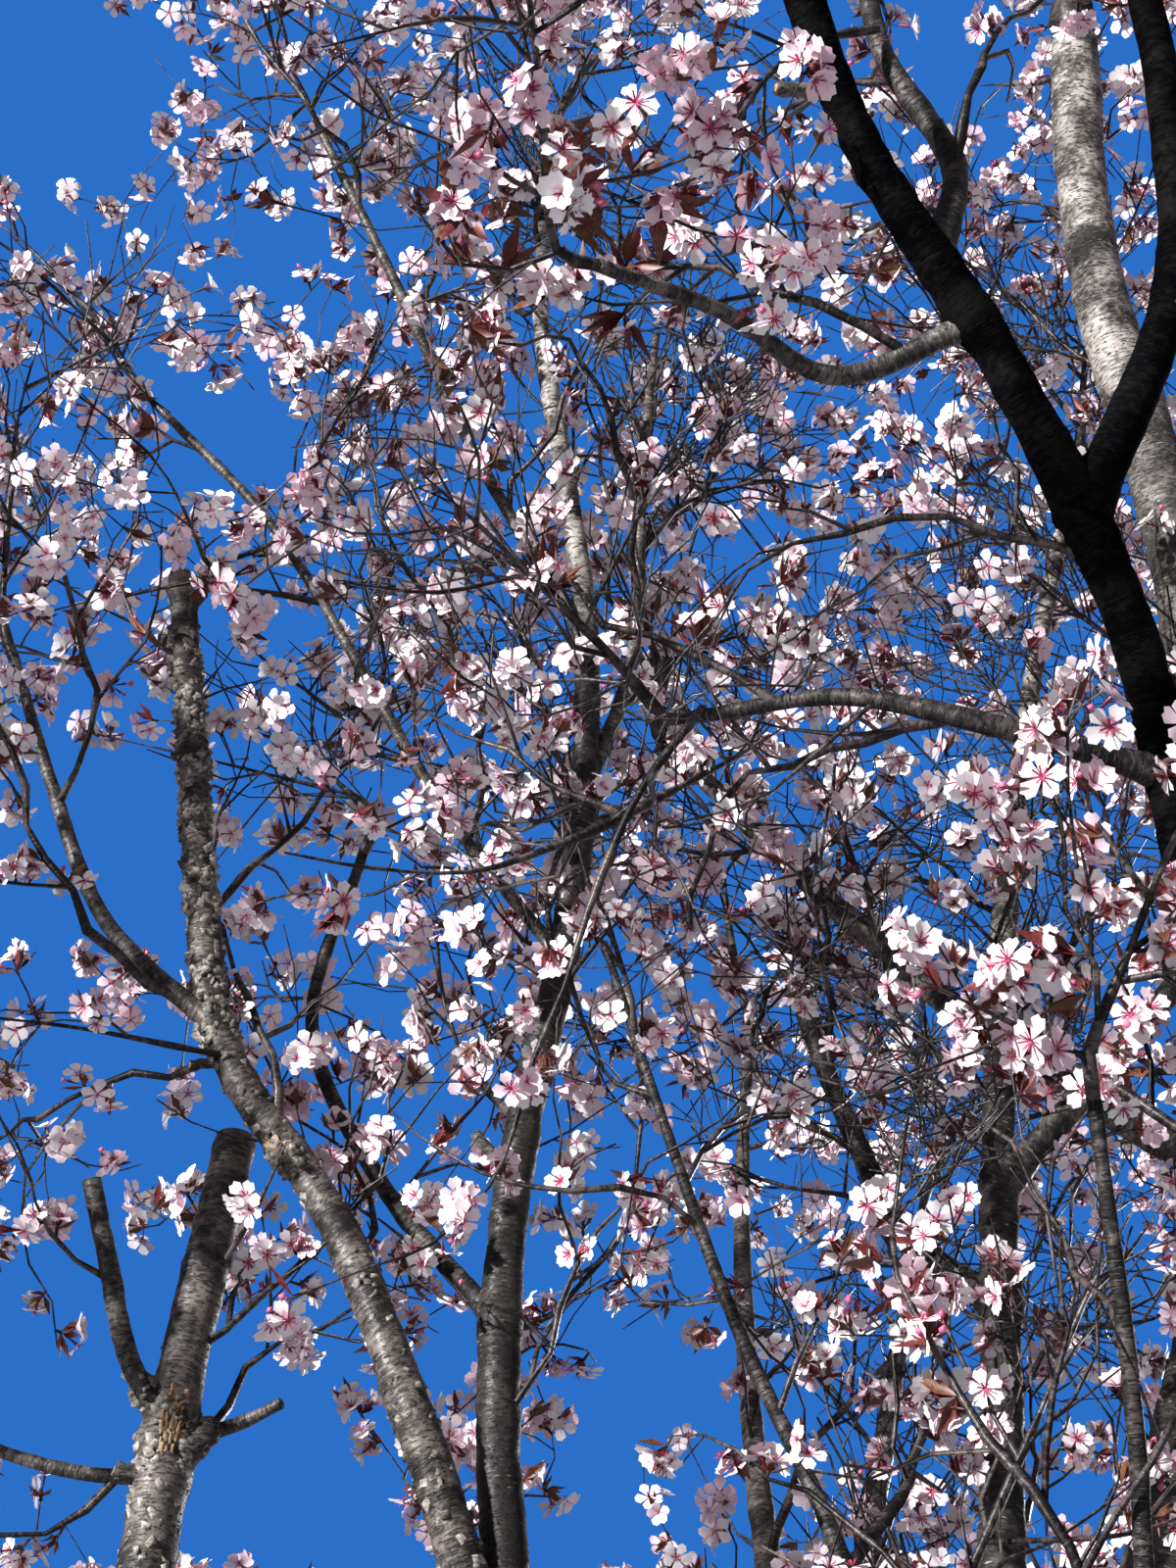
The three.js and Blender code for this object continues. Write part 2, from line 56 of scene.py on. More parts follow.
# The trunk and the limbs, as the solids have them. A limb's row says what it grows on, how far along, its
# length, its radius at foot and tip, and its course. A course holds headings from foot to tip, evenly spaced,
# in degrees round from +X and of lean from vertical.
SEAT_GAP = 0.0003
TRUNK_HEIGHT = 1.5
TRUNK_RADIUS = 0.128
TRUNK_COURSE = [(110, 2), (200, 1)]
TRUNK_STEPS = 9
ROOT_FLARE = 0.105
ROOT_FLARE_HEIGHT = 0.33
ROOT_RIDGES = 5
ROOT_RIDGE_SHARE = 0.24
CROTCH_DOME_SHARE = 0.16
CROTCH_TOP_SHARE = 0.45
LIMB_TABLE = {
    "leader_bough": ("trunk", 0.9, 4.33, 0.043, 0.014, (135, 13), (188, 5), (291, 6), (252, 9), (313, 16),
        (275, 14), (241, 22), (284, 23)),
    "left_bough": ("trunk", 0.77, 2.64, 0.054, 0.031, (188, 29), (180, 22), (173, 12), (275, 4), (309, 11)),
    "right_bough": ("trunk", 0.8, 4.05, 0.052, 0.012, (357, 34), (0, 7), (336, 8), (309, 27)),
    "front_right_bough": ("trunk", 0.84, 4.37, 0.043, 0.019, (333, 34), (324, 34), (306, 30), (286, 29),
        (257, 35), (227, 55), (258, 31), (115, 36)),
    "back_right_bough": ("trunk", 0.87, 5.05, 0.072, 0.049, (41, 28), (21, 26), (356, 24), (326, 22),
        (266, 29), (249, 27), (289, 23)),
    "back_bough": ("trunk", 0.9, 3.83, 0.05, 0.014, (67, 28), (57, 24)),
    "back_left_bough": ("trunk", 0.84, 2.87, 0.046, 0.014, (134, 32), (151, 48)),
    "front_left_bough": ("trunk", 0.8, 3.01, 0.046, 0.014, (220, 43), (206, 31)),
    "crossing_bough": ("leader_bough", 0.36, 1.94, 0.03, 0.021, (230, 34), (204, 21), (203, 39), (229, 15),
        (228, 13), (196, 11)),
    "crossing_left_branch": ("crossing_bough", 0.51, 0.72, 0.015, 0.009, (200, 64), (219, 33), (230, 29)),
    "left_stub": ("left_bough", 0.82, 0.37, 0.015, 0.014, (214, 47), (236, 31), (245, 36)),
    "left_low_branch": ("left_bough", 0.8, 0.33, 0.011, 0.008, (178, 90), (192, 63)),
    "left_inner_branch": ("left_bough", 0.82, 0.16, 0.012, 0.008, (36, 61), (319, 89)),
    "leader_low_branch": ("leader_bough", 0.47, 0.9, 0.015, 0.009, (174, 26), (183, 46), (262, 18),
        (325, 32)),
    "leader_left_branch": ("leader_bough", 0.61, 1.26, 0.011, 0.008, (212, 50), (215, 31), (195, 46)),
    "leader_high_branch": ("leader_bough", 0.76, 1.15, 0.012, 0.008, (204, 36), (234, 44), (231, 41),
        (205, 23)),
    "leader_right_branch": ("leader_bough", 0.68, 1.05, 0.014, 0.008, (6, 20), (276, 28), (313, 9)),
    "right_near_branch": ("right_bough", 0.26, 0.67, 0.013, 0.009, (307, 29), (242, 34)),
    "right_low_branch": ("right_bough", 0.31, 1.63, 0.015, 0.006, (256, 33), (229, 22), (179, 18),
        (200, 15), (217, 19)),
    "right_inner_branch": ("right_bough", 0.58, 0.67, 0.022, 0.014, (130, 47), (203, 22), (218, 16)),
    "right_outer_branch": ("right_bough", 0.63, 1.22, 0.022, 0.012, (328, 55), (325, 48)),
    "back_right_inner_branch": ("back_right_bough", 0.54, 1.15, 0.029, 0.016, (193, 70), (188, 44),
        (208, 58), (150, 22)),
    "back_right_outer_branch": ("back_right_bough", 0.5, 1.4, 0.026, 0.013, (56, 64), (11, 25)),
    "front_right_fork": ("front_right_bough", 0.65, 1.35, 0.026, 0.019, (320, 46), (288, 21), (267, 23),
        (307, 44)),
    "front_right_grey_branch": ("front_right_bough", 0.73, 0.66, 0.019, 0.012, (16, 48), (220, 31),
        (220, 19), (279, 33)),
    "front_right_left_branch": ("front_right_bough", 0.71, 0.51, 0.014, 0.008, (123, 93), (202, 103),
        (231, 100), (190, 114)),
    "front_right_low_branch": ("front_right_bough", 0.58, 0.57, 0.015, 0.009, (205, 104), (187, 67),
        (154, 59), (149, 76)),
    "front_right_near_branch": ("front_right_bough", 0.29, 0.93, 0.012, 0.007, (258, 100), (271, 41),
        (259, 34)),
    "front_outer_branch": ("front_right_bough", 0.38, 1.76, 0.026, 0.013, (298, 82), (271, 30)),
    "back_inner_branch": ("back_bough", 0.5, 1.86, 0.028, 0.013, (119, 13), (29, 7)),
    "back_left_outer_branch": ("back_left_bough", 0.47, 1.86, 0.026, 0.013, (157, 42), (215, 31)),
    "front_left_inner_branch": ("front_left_bough", 0.42, 2.36, 0.027, 0.013, (234, 42), (268, 37)),
}
LIMBS = {
    name: dict(on=on, at=at, length=length, foot=foot, tip=tip, course=course)
    for name, (on, at, length, foot, tip, *course) in LIMB_TABLE.items()
}
LIMB_STEP = 0.34
LIMB_FEWEST_STEPS = 3

# The masses' reach and the heading of their middle from the limb's tip, as the solids have them.
MASSES = {
    "leader_bough": (0.85, (350, 12)),
    "right_bough": (0.75, (330, 12)),
    "front_right_bough": (0.8, (240, 30)),
    "back_right_bough": (0.8, (300, 15)),
    "back_bough": (1.05, (60, 35)),
    "back_left_bough": (0.95, (160, 45)),
    "front_left_bough": (0.9, (205, 25)),
    "crossing_left_branch": (0.56, (265, 30)),
    "left_low_branch": (0.46, (200, 40)),
    "left_inner_branch": (0.36, (262, 98)),
    "leader_low_branch": (0.47, (150, 30)),
    "leader_left_branch": (0.56, (200, 30)),
    "leader_high_branch": (0.62, (200, 32)),
    "right_near_branch": (0.38, (320, 35)),
    "right_inner_branch": (0.5, (80, 40)),
    "right_outer_branch": (0.85, (330, 30)),
    "back_right_inner_branch": (0.72, (60, 10)),
    "back_right_outer_branch": (0.95, (20, 25)),
    "front_right_fork": (0.65, (320, 35)),
    "front_right_left_branch": (0.4, (265, 110)),
    "front_right_low_branch": (0.34, (230, 80)),
    "front_right_near_branch": (0.31, (300, 50)),
    "front_outer_branch": (0.8, (290, 50)),
    "back_inner_branch": (0.85, (200, 6)),
    "back_left_outer_branch": (0.95, (190, 25)),
    "front_left_inner_branch": (0.8, (240, 25)),
}
CROWN_FLOOR = 2.5
BALL_CENTRE_SHARE = 0.62
STEM_LENGTH_SHARE = 1.45
STEM_STEPS = 4
STEM_STRAIGHT_SHARE = 0.4
STEM_STRAY = 0.35
TWIGS_AT_LEAST = 4
TWIGS_PER_REACH = 2.5
TWIG_FIRST = 0.1
TWIG_SPAN = 0.8
TWIG_ANGLE_FIRST = 71
TWIG_ANGLE_LAST = 40
TWIG_TURN_SPREAD = 50
TWIG_LENGTH_SHARE = 0.95
TWIG_SHORTENING = 0.45
TWIG_STEPS = 2
TWIG_STRAY = 0.7
TWIG_LIFT = 0.1
TWIG_FOOT_SHARE = 0.5
TWIG_TIP_RADIUS = 0.004
GOLDEN_ANGLE = 137.5
SIZE_SPREAD = 0.3

# The photograph's view: 1200 by 1600 pixels, from eye level, looking up into the crown.
PHOTO_WIDTH = 1200
PHOTO_HEIGHT = 1600
EYE = np.array([0.0, -2.6, 1.5])
PITCH = math.radians(50)
FOCAL_PIXELS = 2300

UP = np.array([0.0, 0.0, 1.0])


# ---- the source's rule, grown again ----

def unit(v):
    return v / np.maximum(np.linalg.norm(v, axis=-1, keepdims=True), 1e-12)


def seeded(seed):
    """A repeatable stream of numbers from 0 to 1, the same as the solids' own."""
    state = seed

    def draw():
        nonlocal state
        state = (state * 1664525 + 1013904223) % 4294967296
        return state / 4294967296

    return draw


def heading_vector(heading):
    a, lean = math.radians(heading[0]), math.radians(heading[1])
    return np.array([math.cos(a) * math.sin(lean), math.sin(a) * math.sin(lean), math.cos(lean)])


def course_points(start, course, length, steps):
    headings = [heading_vector(h) for h in course]
    points = [np.array(start, float)]
    for i in range(steps):
        place = (i + 0.5) / steps * (len(headings) - 1)
        before = min(int(place), len(headings) - 2)
        share = place - before
        along = unit(headings[before] * (1 - share) + headings[before + 1] * share)
        points.append(points[i] + along * length / steps)
    return np.array(points)


def straying_points(start, heading, length, steps, stray, lift, random):
    points = [np.array(start, float)]
    along = np.array(heading, float)
    for i in range(steps):
        points.append(points[i] + along * length / steps)
        along = along + np.array([stray * (random() - 0.5) for _ in range(3)]) + UP * lift
        along = unit(along)
    return np.array(points)


def place_on(points, share):
    place = share * (len(points) - 1)
    before = min(int(place), len(points) - 2)
    return points[before] + (points[before + 1] - points[before]) * (place - before)


def direction_on(points, share):
    before = min(int(share * (len(points) - 1)), len(points) - 2)
    return unit(points[before + 1] - points[before])


def side_of(along, turn):
    """The side of a direction that is turned round it by an angle in degrees."""
    across = np.array([1.0, 0.0, 0.0]) if abs(along[2]) > 0.9 else UP
    side = unit(np.cross(along, across))
    a = math.radians(turn)
    return side * math.cos(a) + np.cross(along, side) * math.sin(a)


def leaning(along, turn, lean):
    """A direction that leans from another, on the side that lies at a turn round it, both in degrees."""
    angle = math.radians(lean)
    return along * math.cos(angle) + side_of(along, turn) * math.sin(angle)


def trunk_radius(share, angle):
    fading = np.exp(-share * TRUNK_HEIGHT / ROOT_FLARE_HEIGHT)
    ridges = 1 + ROOT_RIDGE_SHARE * np.cos(ROOT_RIDGES * angle) * fading
    dome = np.maximum(0, (share - 1 + CROTCH_DOME_SHARE) / CROTCH_DOME_SHARE)
    return (TRUNK_RADIUS + ROOT_FLARE * fading) * ridges * (1 - (1 - CROTCH_TOP_SHARE) * dome * dome)


runs = {"trunk": course_points((0, 0, 0), TRUNK_COURSE, TRUNK_HEIGHT, TRUNK_STEPS)}
for name, limb in LIMBS.items():
    start = place_on(runs[limb["on"]], limb["at"])
    steps = max(LIMB_FEWEST_STEPS, math.floor(limb["length"] / LIMB_STEP + 0.5))
    runs[name] = course_points(start, limb["course"], limb["length"], steps)


def limb_radius(name, share):
    if name == "trunk":
        return trunk_radius(share, 0)
    return LIMBS[name]["foot"] + (LIMBS[name]["tip"] - LIMBS[name]["foot"]) * share


masses = []
for index, (limb, (reach, toward)) in enumerate(MASSES.items()):
    heading = direction_on(runs[limb], 1)
    start = runs[limb][-1] + heading * SEAT_GAP
    middle = heading_vector(toward)
    masses.append(dict(
        name=limb.replace("_bough", "").replace("_branch", "") + "_blossom", limb=limb, reach=reach,
        index=index, heading=heading, middle=middle, start=start,
        centre=start + middle * reach * BALL_CENTRE_SHARE,
    ))
mass_centres = np.array([m["centre"] for m in masses])
mass_reaches = np.array([m["reach"] for m in masses])

limb_steps = [
    (name, points[i], points[i + 1], limb_radius(name, i / (len(points) - 1)))
    for name, points in runs.items()
    for i in range(len(points) - 1)
]
step_limbs = np.array([s[0] for s in limb_steps])
step_starts = np.array([s[1] for s in limb_steps])
step_spans = np.array([s[2] - s[1] for s in limb_steps])
step_radii = np.array([s[3] for s in limb_steps])


def limb_clearance(places, left_out=""):
    """How far each place is from the nearest limb's surface."""
    rel = places[:, None] - step_starts
    share = np.clip((rel * step_spans).sum(2) / (step_spans**2).sum(1), 0, 1)
    gap = np.linalg.norm(rel - share[..., None] * step_spans, axis=2) - step_radii
    gap[:, step_limbs == left_out] = np.inf
    return gap.min(1)


def are_free(mass, places, size, left_out=""):
    """Which places lie in the mass's own space, as in the solids."""
    clear = size + SEAT_GAP
    far = np.linalg.norm(places[:, None] - mass_centres, axis=2)
    own = (far[:, mass["index"]] + clear) / mass["reach"]
    others = (far - clear) / mass_reaches
    others[:, mass["index"]] = np.inf
    free = (places[:, 2] - clear >= CROWN_FLOOR) & (own <= 1) & (others.min(1) >= own)
    return free & (limb_clearance(places, left_out) >= clear)


def free_stretch(mass, points, size, left_out=""):
    shares = np.array([0.25, 0.5, 0.75, 1.0])[:, None]
    count = 1
    while count < len(points):
        step = points[count - 1] + (points[count] - points[count - 1]) * shares
        if not are_free(mass, step, size, left_out).all():
            break
        count += 1
    return points[:count]


def size_spread(random):
    return 1 + SIZE_SPREAD * (random() - 0.5)


def grow_twigs(mass):
    """The mass's stem and side twigs, as in the solids: (points, foot radius, tip radius)."""
    random = seeded(1000 + mass["index"])
    tip = LIMBS[mass["limb"]]["tip"]
    stem_length = mass["reach"] * STEM_LENGTH_SHARE
    straight = stem_length / STEM_STEPS * STEM_STRAIGHT_SHARE
    bend = mass["start"] + mass["heading"] * straight
    turned = straying_points(bend, mass["middle"], stem_length - straight, STEM_STEPS, STEM_STRAY, 0, random)
    stem = free_stretch(mass, np.vstack([mass["start"], turned]), tip, mass["limb"])
    twigs = [(stem, tip, TWIG_TIP_RADIUS)]
    count = TWIGS_AT_LEAST + math.floor(mass["reach"] * TWIGS_PER_REACH + 0.5)
    for k in range(count):
        share = TWIG_FIRST + TWIG_SPAN * (k + 0.5) / count
        along = direction_on(stem, share)
        turn = k * GOLDEN_ANGLE + TWIG_TURN_SPREAD * (random() - 0.5)
        heading = leaning(along, turn, TWIG_ANGLE_FIRST + (TWIG_ANGLE_LAST - TWIG_ANGLE_FIRST) * share)
        length = mass["reach"] * TWIG_LENGTH_SHARE * (1 - TWIG_SHORTENING * share) * size_spread(random)
        radius = max(TWIG_TIP_RADIUS, (tip + (TWIG_TIP_RADIUS - tip) * share) * TWIG_FOOT_SHARE)
        foot = place_on(stem, share)
        points = straying_points(foot, heading, length, TWIG_STEPS, TWIG_STRAY, TWIG_LIFT, random)
        free = free_stretch(mass, points, radius)
        if len(free) > 1:
            twigs.append((free, radius, TWIG_TIP_RADIUS))
    return twigs


# ---- meshes ----

def smooth_path(points, spacing):
    """A smooth curve through the points, with a point about every spacing."""
    padded = np.vstack([2 * points[0] - points[1], points, 2 * points[-1] - points[-2]])
    out = []
    for i in range(1, len(padded) - 2):
        a, b, c, d = padded[i - 1:i + 3]
        n = max(1, math.ceil(np.linalg.norm(c - b) / spacing))
        t = (np.arange(n) / n)[:, None]
        out.append(0.5 * (2 * b + (c - a) * t + (2 * a - 5 * b + 4 * c - d) * t**2
                          + (3 * b - a - 3 * c + d) * t**3))
    return np.vstack(out + [points[-1:]])


def ring_frames(points):
    """Two sides square to the path at each point, carried along it without twist."""
    along = unit(np.gradient(points, axis=0))
    side = side_of(along[0], 0)
    sides = []
    for d in along:
        side = unit(side - d * (side @ d))
        sides.append(side)
    sides = np.array(sides)
    return sides, np.cross(along, sides)


def path_lengths(points):
    return np.concatenate([[0], np.cumsum(np.linalg.norm(np.diff(points, axis=0), axis=1))])


def place_along(points, along, at):
    """The place at a distance along a path, and the path's direction there."""
    i = min(np.searchsorted(along, at) - 1, len(points) - 2)
    step = points[i + 1] - points[i]
    return points[i] + step * (at - along[i]) / (along[i + 1] - along[i]), unit(step)


def round_angles(sides):
    return np.arange(sides) / sides * math.tau


def bases(ways):
    """Two directions square to each way."""
    flat = np.where(np.abs(ways[:, 2:]) > 0.9, np.array([[1.0, 0, 0]]), UP[None])
    one = unit(np.cross(ways, flat))
    return one, np.cross(ways, one)


def round_about(one, two, angles):
    """Directions at angles round each pair of square directions: (n, angles, 3)."""
    angles = np.broadcast_to(angles, (len(one), np.shape(angles)[-1]))
    return one[:, None] * np.cos(angles)[..., None] + two[:, None] * np.sin(angles)[..., None]


def fan(count, centre):
    return [(i, (i + 1) % count, centre) for i in range(count)]


def spread_ways(ways, turn, lean):
    """Each way leaned by an angle to the side at a turn round it, and that side."""
    one, two = bases(ways)
    aside = one * np.cos(turn)[:, None] + two * np.sin(turn)[:, None]
    return ways * np.cos(lean)[:, None] + aside * np.sin(lean)[:, None], aside


def tube(points, radii, sides, cap_tip=True):
    """A round bar along the points. radii is one for each point, or one for each point and side."""
    n = len(points)
    ring = round_about(*ring_frames(points), round_angles(sides))
    radii = np.broadcast_to(np.asarray(radii).reshape(n, -1), (n, sides))
    verts = (points[:, None] + ring * radii[..., None]).reshape(-1, 3)
    i = np.arange(n - 1)[:, None] * sides
    j = np.arange(sides)[None]
    k = (j + 1) % sides
    a, b, c, d = i + j, i + k, i + sides + k, i + sides + j
    faces = np.stack([np.stack([a, b, c], -1), np.stack([a, c, d], -1)], -2).reshape(-1, 3)
    if cap_tip:
        verts = np.vstack([verts, points[-1:]])
        last = (n - 1) * sides
        cap = np.stack([last + j[0], last + k[0], np.full(sides, n * sides)], -1)
        faces = np.vstack([faces, cap])
    return verts, faces


class Pile:
    """Triangles that become one piece."""

    def __init__(self):
        self.verts, self.faces, self.places, self.count = [], [], [], 0

    def add(self, verts, faces, places=None):
        self.verts.append(verts)
        self.faces.append(faces + self.count)
        if places is not None:
            self.places.append(places)
        self.count += len(verts)

    def tile(self, shapes, faces, places=None):
        """Many shapes of the same faces: shapes is (..., points of a shape, 3)."""
        size = shapes.shape[-2]
        verts = shapes.reshape(-1, 3)
        starts = np.arange(len(verts) // size)[:, None, None] * size
        tiled = (np.asarray(faces)[None] + starts).reshape(-1, 3)
        self.add(verts, tiled, None if places is None else places.reshape(-1, 3))


def make_piece(name, pile, material, nodes=()):
    verts = np.vstack(pile.verts).astype(np.float32)
    faces = np.vstack(pile.faces).astype(np.int32)
    mesh = bpy.data.meshes.new(name)
    mesh.vertices.add(len(verts))
    mesh.vertices.foreach_set("co", verts.ravel())
    mesh.loops.add(faces.size)
    mesh.loops.foreach_set("vertex_index", faces.ravel())
    mesh.polygons.add(len(faces))
    mesh.polygons.foreach_set("loop_start", np.arange(0, faces.size, 3, dtype=np.int32))
    if pile.places:
        places = mesh.attributes.new("bark_place", "FLOAT_VECTOR", "POINT")
        places.data.foreach_set("vector", np.vstack(pile.places).astype(np.float32).ravel())
    mesh.update(calc_edges=True)
    mesh.shade_smooth()
    mesh.materials.append(material)
    piece = bpy.data.objects.new(name, mesh)
    bpy.context.scene.collection.objects.link(piece)
    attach(piece, "root")
    if nodes:
        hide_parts(*nodes)


# ---- bark ----

# How far apart the points on the bark are: as a share of the limb's radius, and at least.
BARK_SPACING = (0.34, 0.0085)
NEAR_BARK_SPACING = (0.27, 0.005)
NEAR_LIMBS = ["left_bough", "left_stub", "crossing_bough", "leader_bough"]
THIN_RADIUS = 0.02
BARK_FEWEST_SIDES = 10
DRESSED_SHARE = 0.97
COLLAR_SHARE = 0.4
COLLAR_START = 0.7  # of the parent's radius
COLLAR_REACH = 1.3  # of the foot's radius
SWELLING_SHARE = 0.1  # where a limb carries another
SWELLING_REACH = 2.2  # of the other's foot radius
LUMP_SHARE = 0.085
LUMP_WAVE = 2.3  # of the limb's radius
WRINKLE_DEPTH = 0.0016
WRINKLE_SHARE = 0.05
KNOTS_PER_METRE = 3.2
KNOT_WIDTH = (0.25, 0.5)
KNOT_HEIGHT = (0.05, 0.17)
ROUGH_DEPTH = 0.004
ROUGH_BELOW = 2.1
ROUGH_FADE = 0.6
ROUGH_LEAST_FOOT = 0.04
LIMB_OVERRUN = 0.004
BARK_SHIFT = 50  # how far apart the bark's pattern is taken for twigs and spurs, in metres at most

rng = np.random.default_rng(7)
bark_grids = {}  # each limb's rings of bark points, (rings, sides, 3)


def lattice_noise(p):
    """Smooth noise from -1 to 1 at points (n, 3), one wave to a unit."""
    cell = np.floor(p).astype(np.int64)
    f = p - cell
    f = f * f * (3 - 2 * f)
    total = np.zeros(len(p))
    for corner in np.ndindex(2, 2, 2):
        c = cell + corner
        h = (c[:, 0] * 73856093) ^ (c[:, 1] * 19349663) ^ (c[:, 2] * 83492791)
        h = (h * 2654435761) & 0xFFFFFFFF
        h = ((h ^ (h >> 15)) * 2246822519) & 0xFFFFFFFF
        weight = np.prod(np.where(np.array(corner) == 1, f, 1 - f), axis=1)
        total += weight * (h / 0x7FFFFFFF - 1)
    return total


def bark_mesh(name, offset):
    """A limb with its collar, swellings, knots and bark: vertices, faces and places on the bark."""
    is_trunk = name == "trunk"
    limb = LIMBS.get(name)
    foot = TRUNK_RADIUS if is_trunk else limb["foot"]
    tip = foot if is_trunk else limb["tip"]
    middle_radius = (foot + tip) / 2
    share_of_radius, least = NEAR_BARK_SPACING if name in NEAR_LIMBS else BARK_SPACING
    spacing = max(least, share_of_radius * max(THIN_RADIUS, middle_radius))
    points = smooth_path(runs[name], spacing)
    n = len(points)
    along = path_lengths(points)
    share = along / along[-1]
    sides = max(BARK_FEWEST_SIDES, int(math.tau * middle_radius / spacing))
    angle = round_angles(sides)
    s, a = np.meshgrid(along, angle, indexing="ij")
    if is_trunk:
        radius = trunk_radius(share[:, None], a)
    else:
        radius = (foot + (tip - foot) * share)[:, None] * np.full_like(a, DRESSED_SHARE)
        parent = TRUNK_RADIUS if limb["on"] == "trunk" else limb_radius(limb["on"], limb["at"])
        radius *= 1 + COLLAR_SHARE * np.exp(-np.maximum(0, s - COLLAR_START * parent) / (COLLAR_REACH * foot))
    base = radius.copy()
    for other in LIMBS.values():
        if other["on"] == name:
            at = other["at"] * along[-1]
            radius += SWELLING_SHARE * base * np.exp(-(((s - at) / (SWELLING_REACH * other["foot"])) ** 2))
    local = np.stack([base * np.cos(a), base * np.sin(a), s], -1).reshape(-1, 3)
    shape = a.shape

    def noise(scale, shift):
        return lattice_noise(local * np.asarray(scale) + offset * 17.3 + shift).reshape(shape)

    lump = 1 / (LUMP_WAVE * middle_radius)
    radius += base * LUMP_SHARE * noise((lump, lump, lump * 0.7), 3)
    radius += base * LUMP_SHARE * 0.45 * noise((lump * 2.6, lump * 2.6, lump * 2), 11)
    depth = min(WRINKLE_DEPTH, WRINKLE_SHARE * middle_radius)
    radius += depth * noise((lump, lump, 55), 23) + 0.7 * depth * noise((lump * 2, lump * 2, 120), 31)
    knots = np.random.default_rng(100 + offset)
    for _ in range(int(KNOTS_PER_METRE * along[-1])):
        at, round_ = knots.uniform(0, along[-1]), knots.uniform(0, math.tau)
        size = middle_radius * knots.uniform(*KNOT_WIDTH)
        turn = (a - round_ + math.pi) % math.tau - math.pi
        far = ((s - at) / size) ** 2 + (turn * base / size) ** 2
        radius += base * knots.uniform(*KNOT_HEIGHT) * np.exp(-far)
    height = points[:, 2][:, None]
    rough = np.clip((ROUGH_BELOW - height) / ROUGH_FADE, 0, 1) * (foot > ROUGH_LEAST_FOOT)
    furrow = np.abs(noise((28, 28, 9), 41)) + 0.6 * np.abs(noise((60, 60, 22), 47))
    radius += rough * ROUGH_DEPTH * (0.55 - furrow)
    if not is_trunk:
        heading = unit(points[-1] - points[-2])
        points = points.copy()
        points[-1] += heading * LIMB_OVERRUN
    verts, faces = (trunk_tube if is_trunk else tube)(points, radius, sides)
    bark_grids[name] = verts[:n * sides].reshape(n, sides, 3)
    places = np.vstack([local, local[-sides:].mean(0, keepdims=True)])
    return verts, faces, places[:len(verts)]


def trunk_tube(points, radii, sides):
    """The trunk's rings stay level, so that it stands on the ground."""
    n = len(points)
    angle = round_angles(sides)
    ring = np.stack([np.cos(angle), np.sin(angle), np.zeros(sides)], -1)
    verts = (points[:, None] + ring * radii[..., None]).reshape(-1, 3)
    _, faces = tube(points, radii, sides)
    return np.vstack([verts, points[-1:]]), faces


# ---- the photograph's frame ----

# Where the photograph shows open sky through the crown: x, y, half width, half height in its pixels, and the
# share of twigs and clusters that are left out there.
SKY_GAPS = {
    "top_left_corner": (60, 70, 150, 130, 0.95),
    "left_edge_high": (40, 190, 110, 80, 0.75),
    "beside_leader": (260, 180, 60, 130, 0.6),
    "under_high_twigs": (290, 270, 110, 70, 0.6),
    "above_cut_bough": (225, 435, 95, 75, 0.92),
    "left_of_cut_bough": (90, 800, 120, 110, 0.75),
    "right_of_cut_bough": (285, 900, 85, 90, 0.75),
    "left_middle": (90, 930, 130, 80, 0.7),
    "between_left_twigs": (360, 1000, 60, 60, 0.5),
    "left_low_edge": (130, 1130, 130, 90, 0.75),
    "in_the_crotch": (430, 1150, 62, 70, 0.95),
    "beside_the_leader_low": (655, 1150, 55, 60, 0.75),
    "right_of_leader_low": (745, 1270, 70, 70, 0.75),
    "left_bottom": (40, 1400, 90, 190, 0.85),
    "between_cut_boughs": (265, 1450, 60, 50, 0.6),
    "under_cut_boughs": (260, 1540, 80, 70, 1.0),
    "under_crossing": (370, 1560, 60, 60, 0.8),
    "bottom_middle": (650, 1500, 95, 130, 0.97),
    "bottom_right_of_leader": (760, 1490, 95, 110, 0.97),
    "middle_window": (745, 555, 62, 62, 0.75),
    "between_black_and_silver": (990, 60, 60, 80, 0.75),
    "right_bottom_edge": (1170, 1470, 50, 80, 0.4),
}
SKY_GAP_END = 1.25
SKY_GAP_FADE = 0.5


def photo_pixels(places):
    """Where the places fall in the photograph's frame, and how deep they are."""
    rel = places - EYE
    depth = rel[:, 1] * math.cos(PITCH) + rel[:, 2] * math.sin(PITCH)
    rise = -rel[:, 1] * math.sin(PITCH) + rel[:, 2] * math.cos(PITCH)
    safe = np.maximum(depth, 0.1)
    return (PHOTO_WIDTH / 2 + FOCAL_PIXELS * rel[:, 0] / safe,
            PHOTO_HEIGHT / 2 - FOCAL_PIXELS * rise / safe, depth)


def place_in_photo(x, y, depth):
    """The place at a depth that falls on a pixel of the photograph."""
    across = (x - PHOTO_WIDTH / 2) / FOCAL_PIXELS * depth
    rise = (PHOTO_HEIGHT / 2 - y) / FOCAL_PIXELS * depth
    return EYE + np.array([across, depth * math.cos(PITCH) - rise * math.sin(PITCH),
                           depth * math.sin(PITCH) + rise * math.cos(PITCH)])


def sky_share(places):
    """The share left out at each place, because the photograph shows sky there."""
    x, y, depth = photo_pixels(places)
    out = np.zeros(len(places))
    for cx, cy, rx, ry, share in SKY_GAPS.values():
        far = ((x - cx) / rx) ** 2 + ((y - cy) / ry) ** 2
        out = np.maximum(out, share * np.clip((SKY_GAP_END - far) / SKY_GAP_FADE, 0, 1))
    return np.where(depth > 0.1, out, 0)


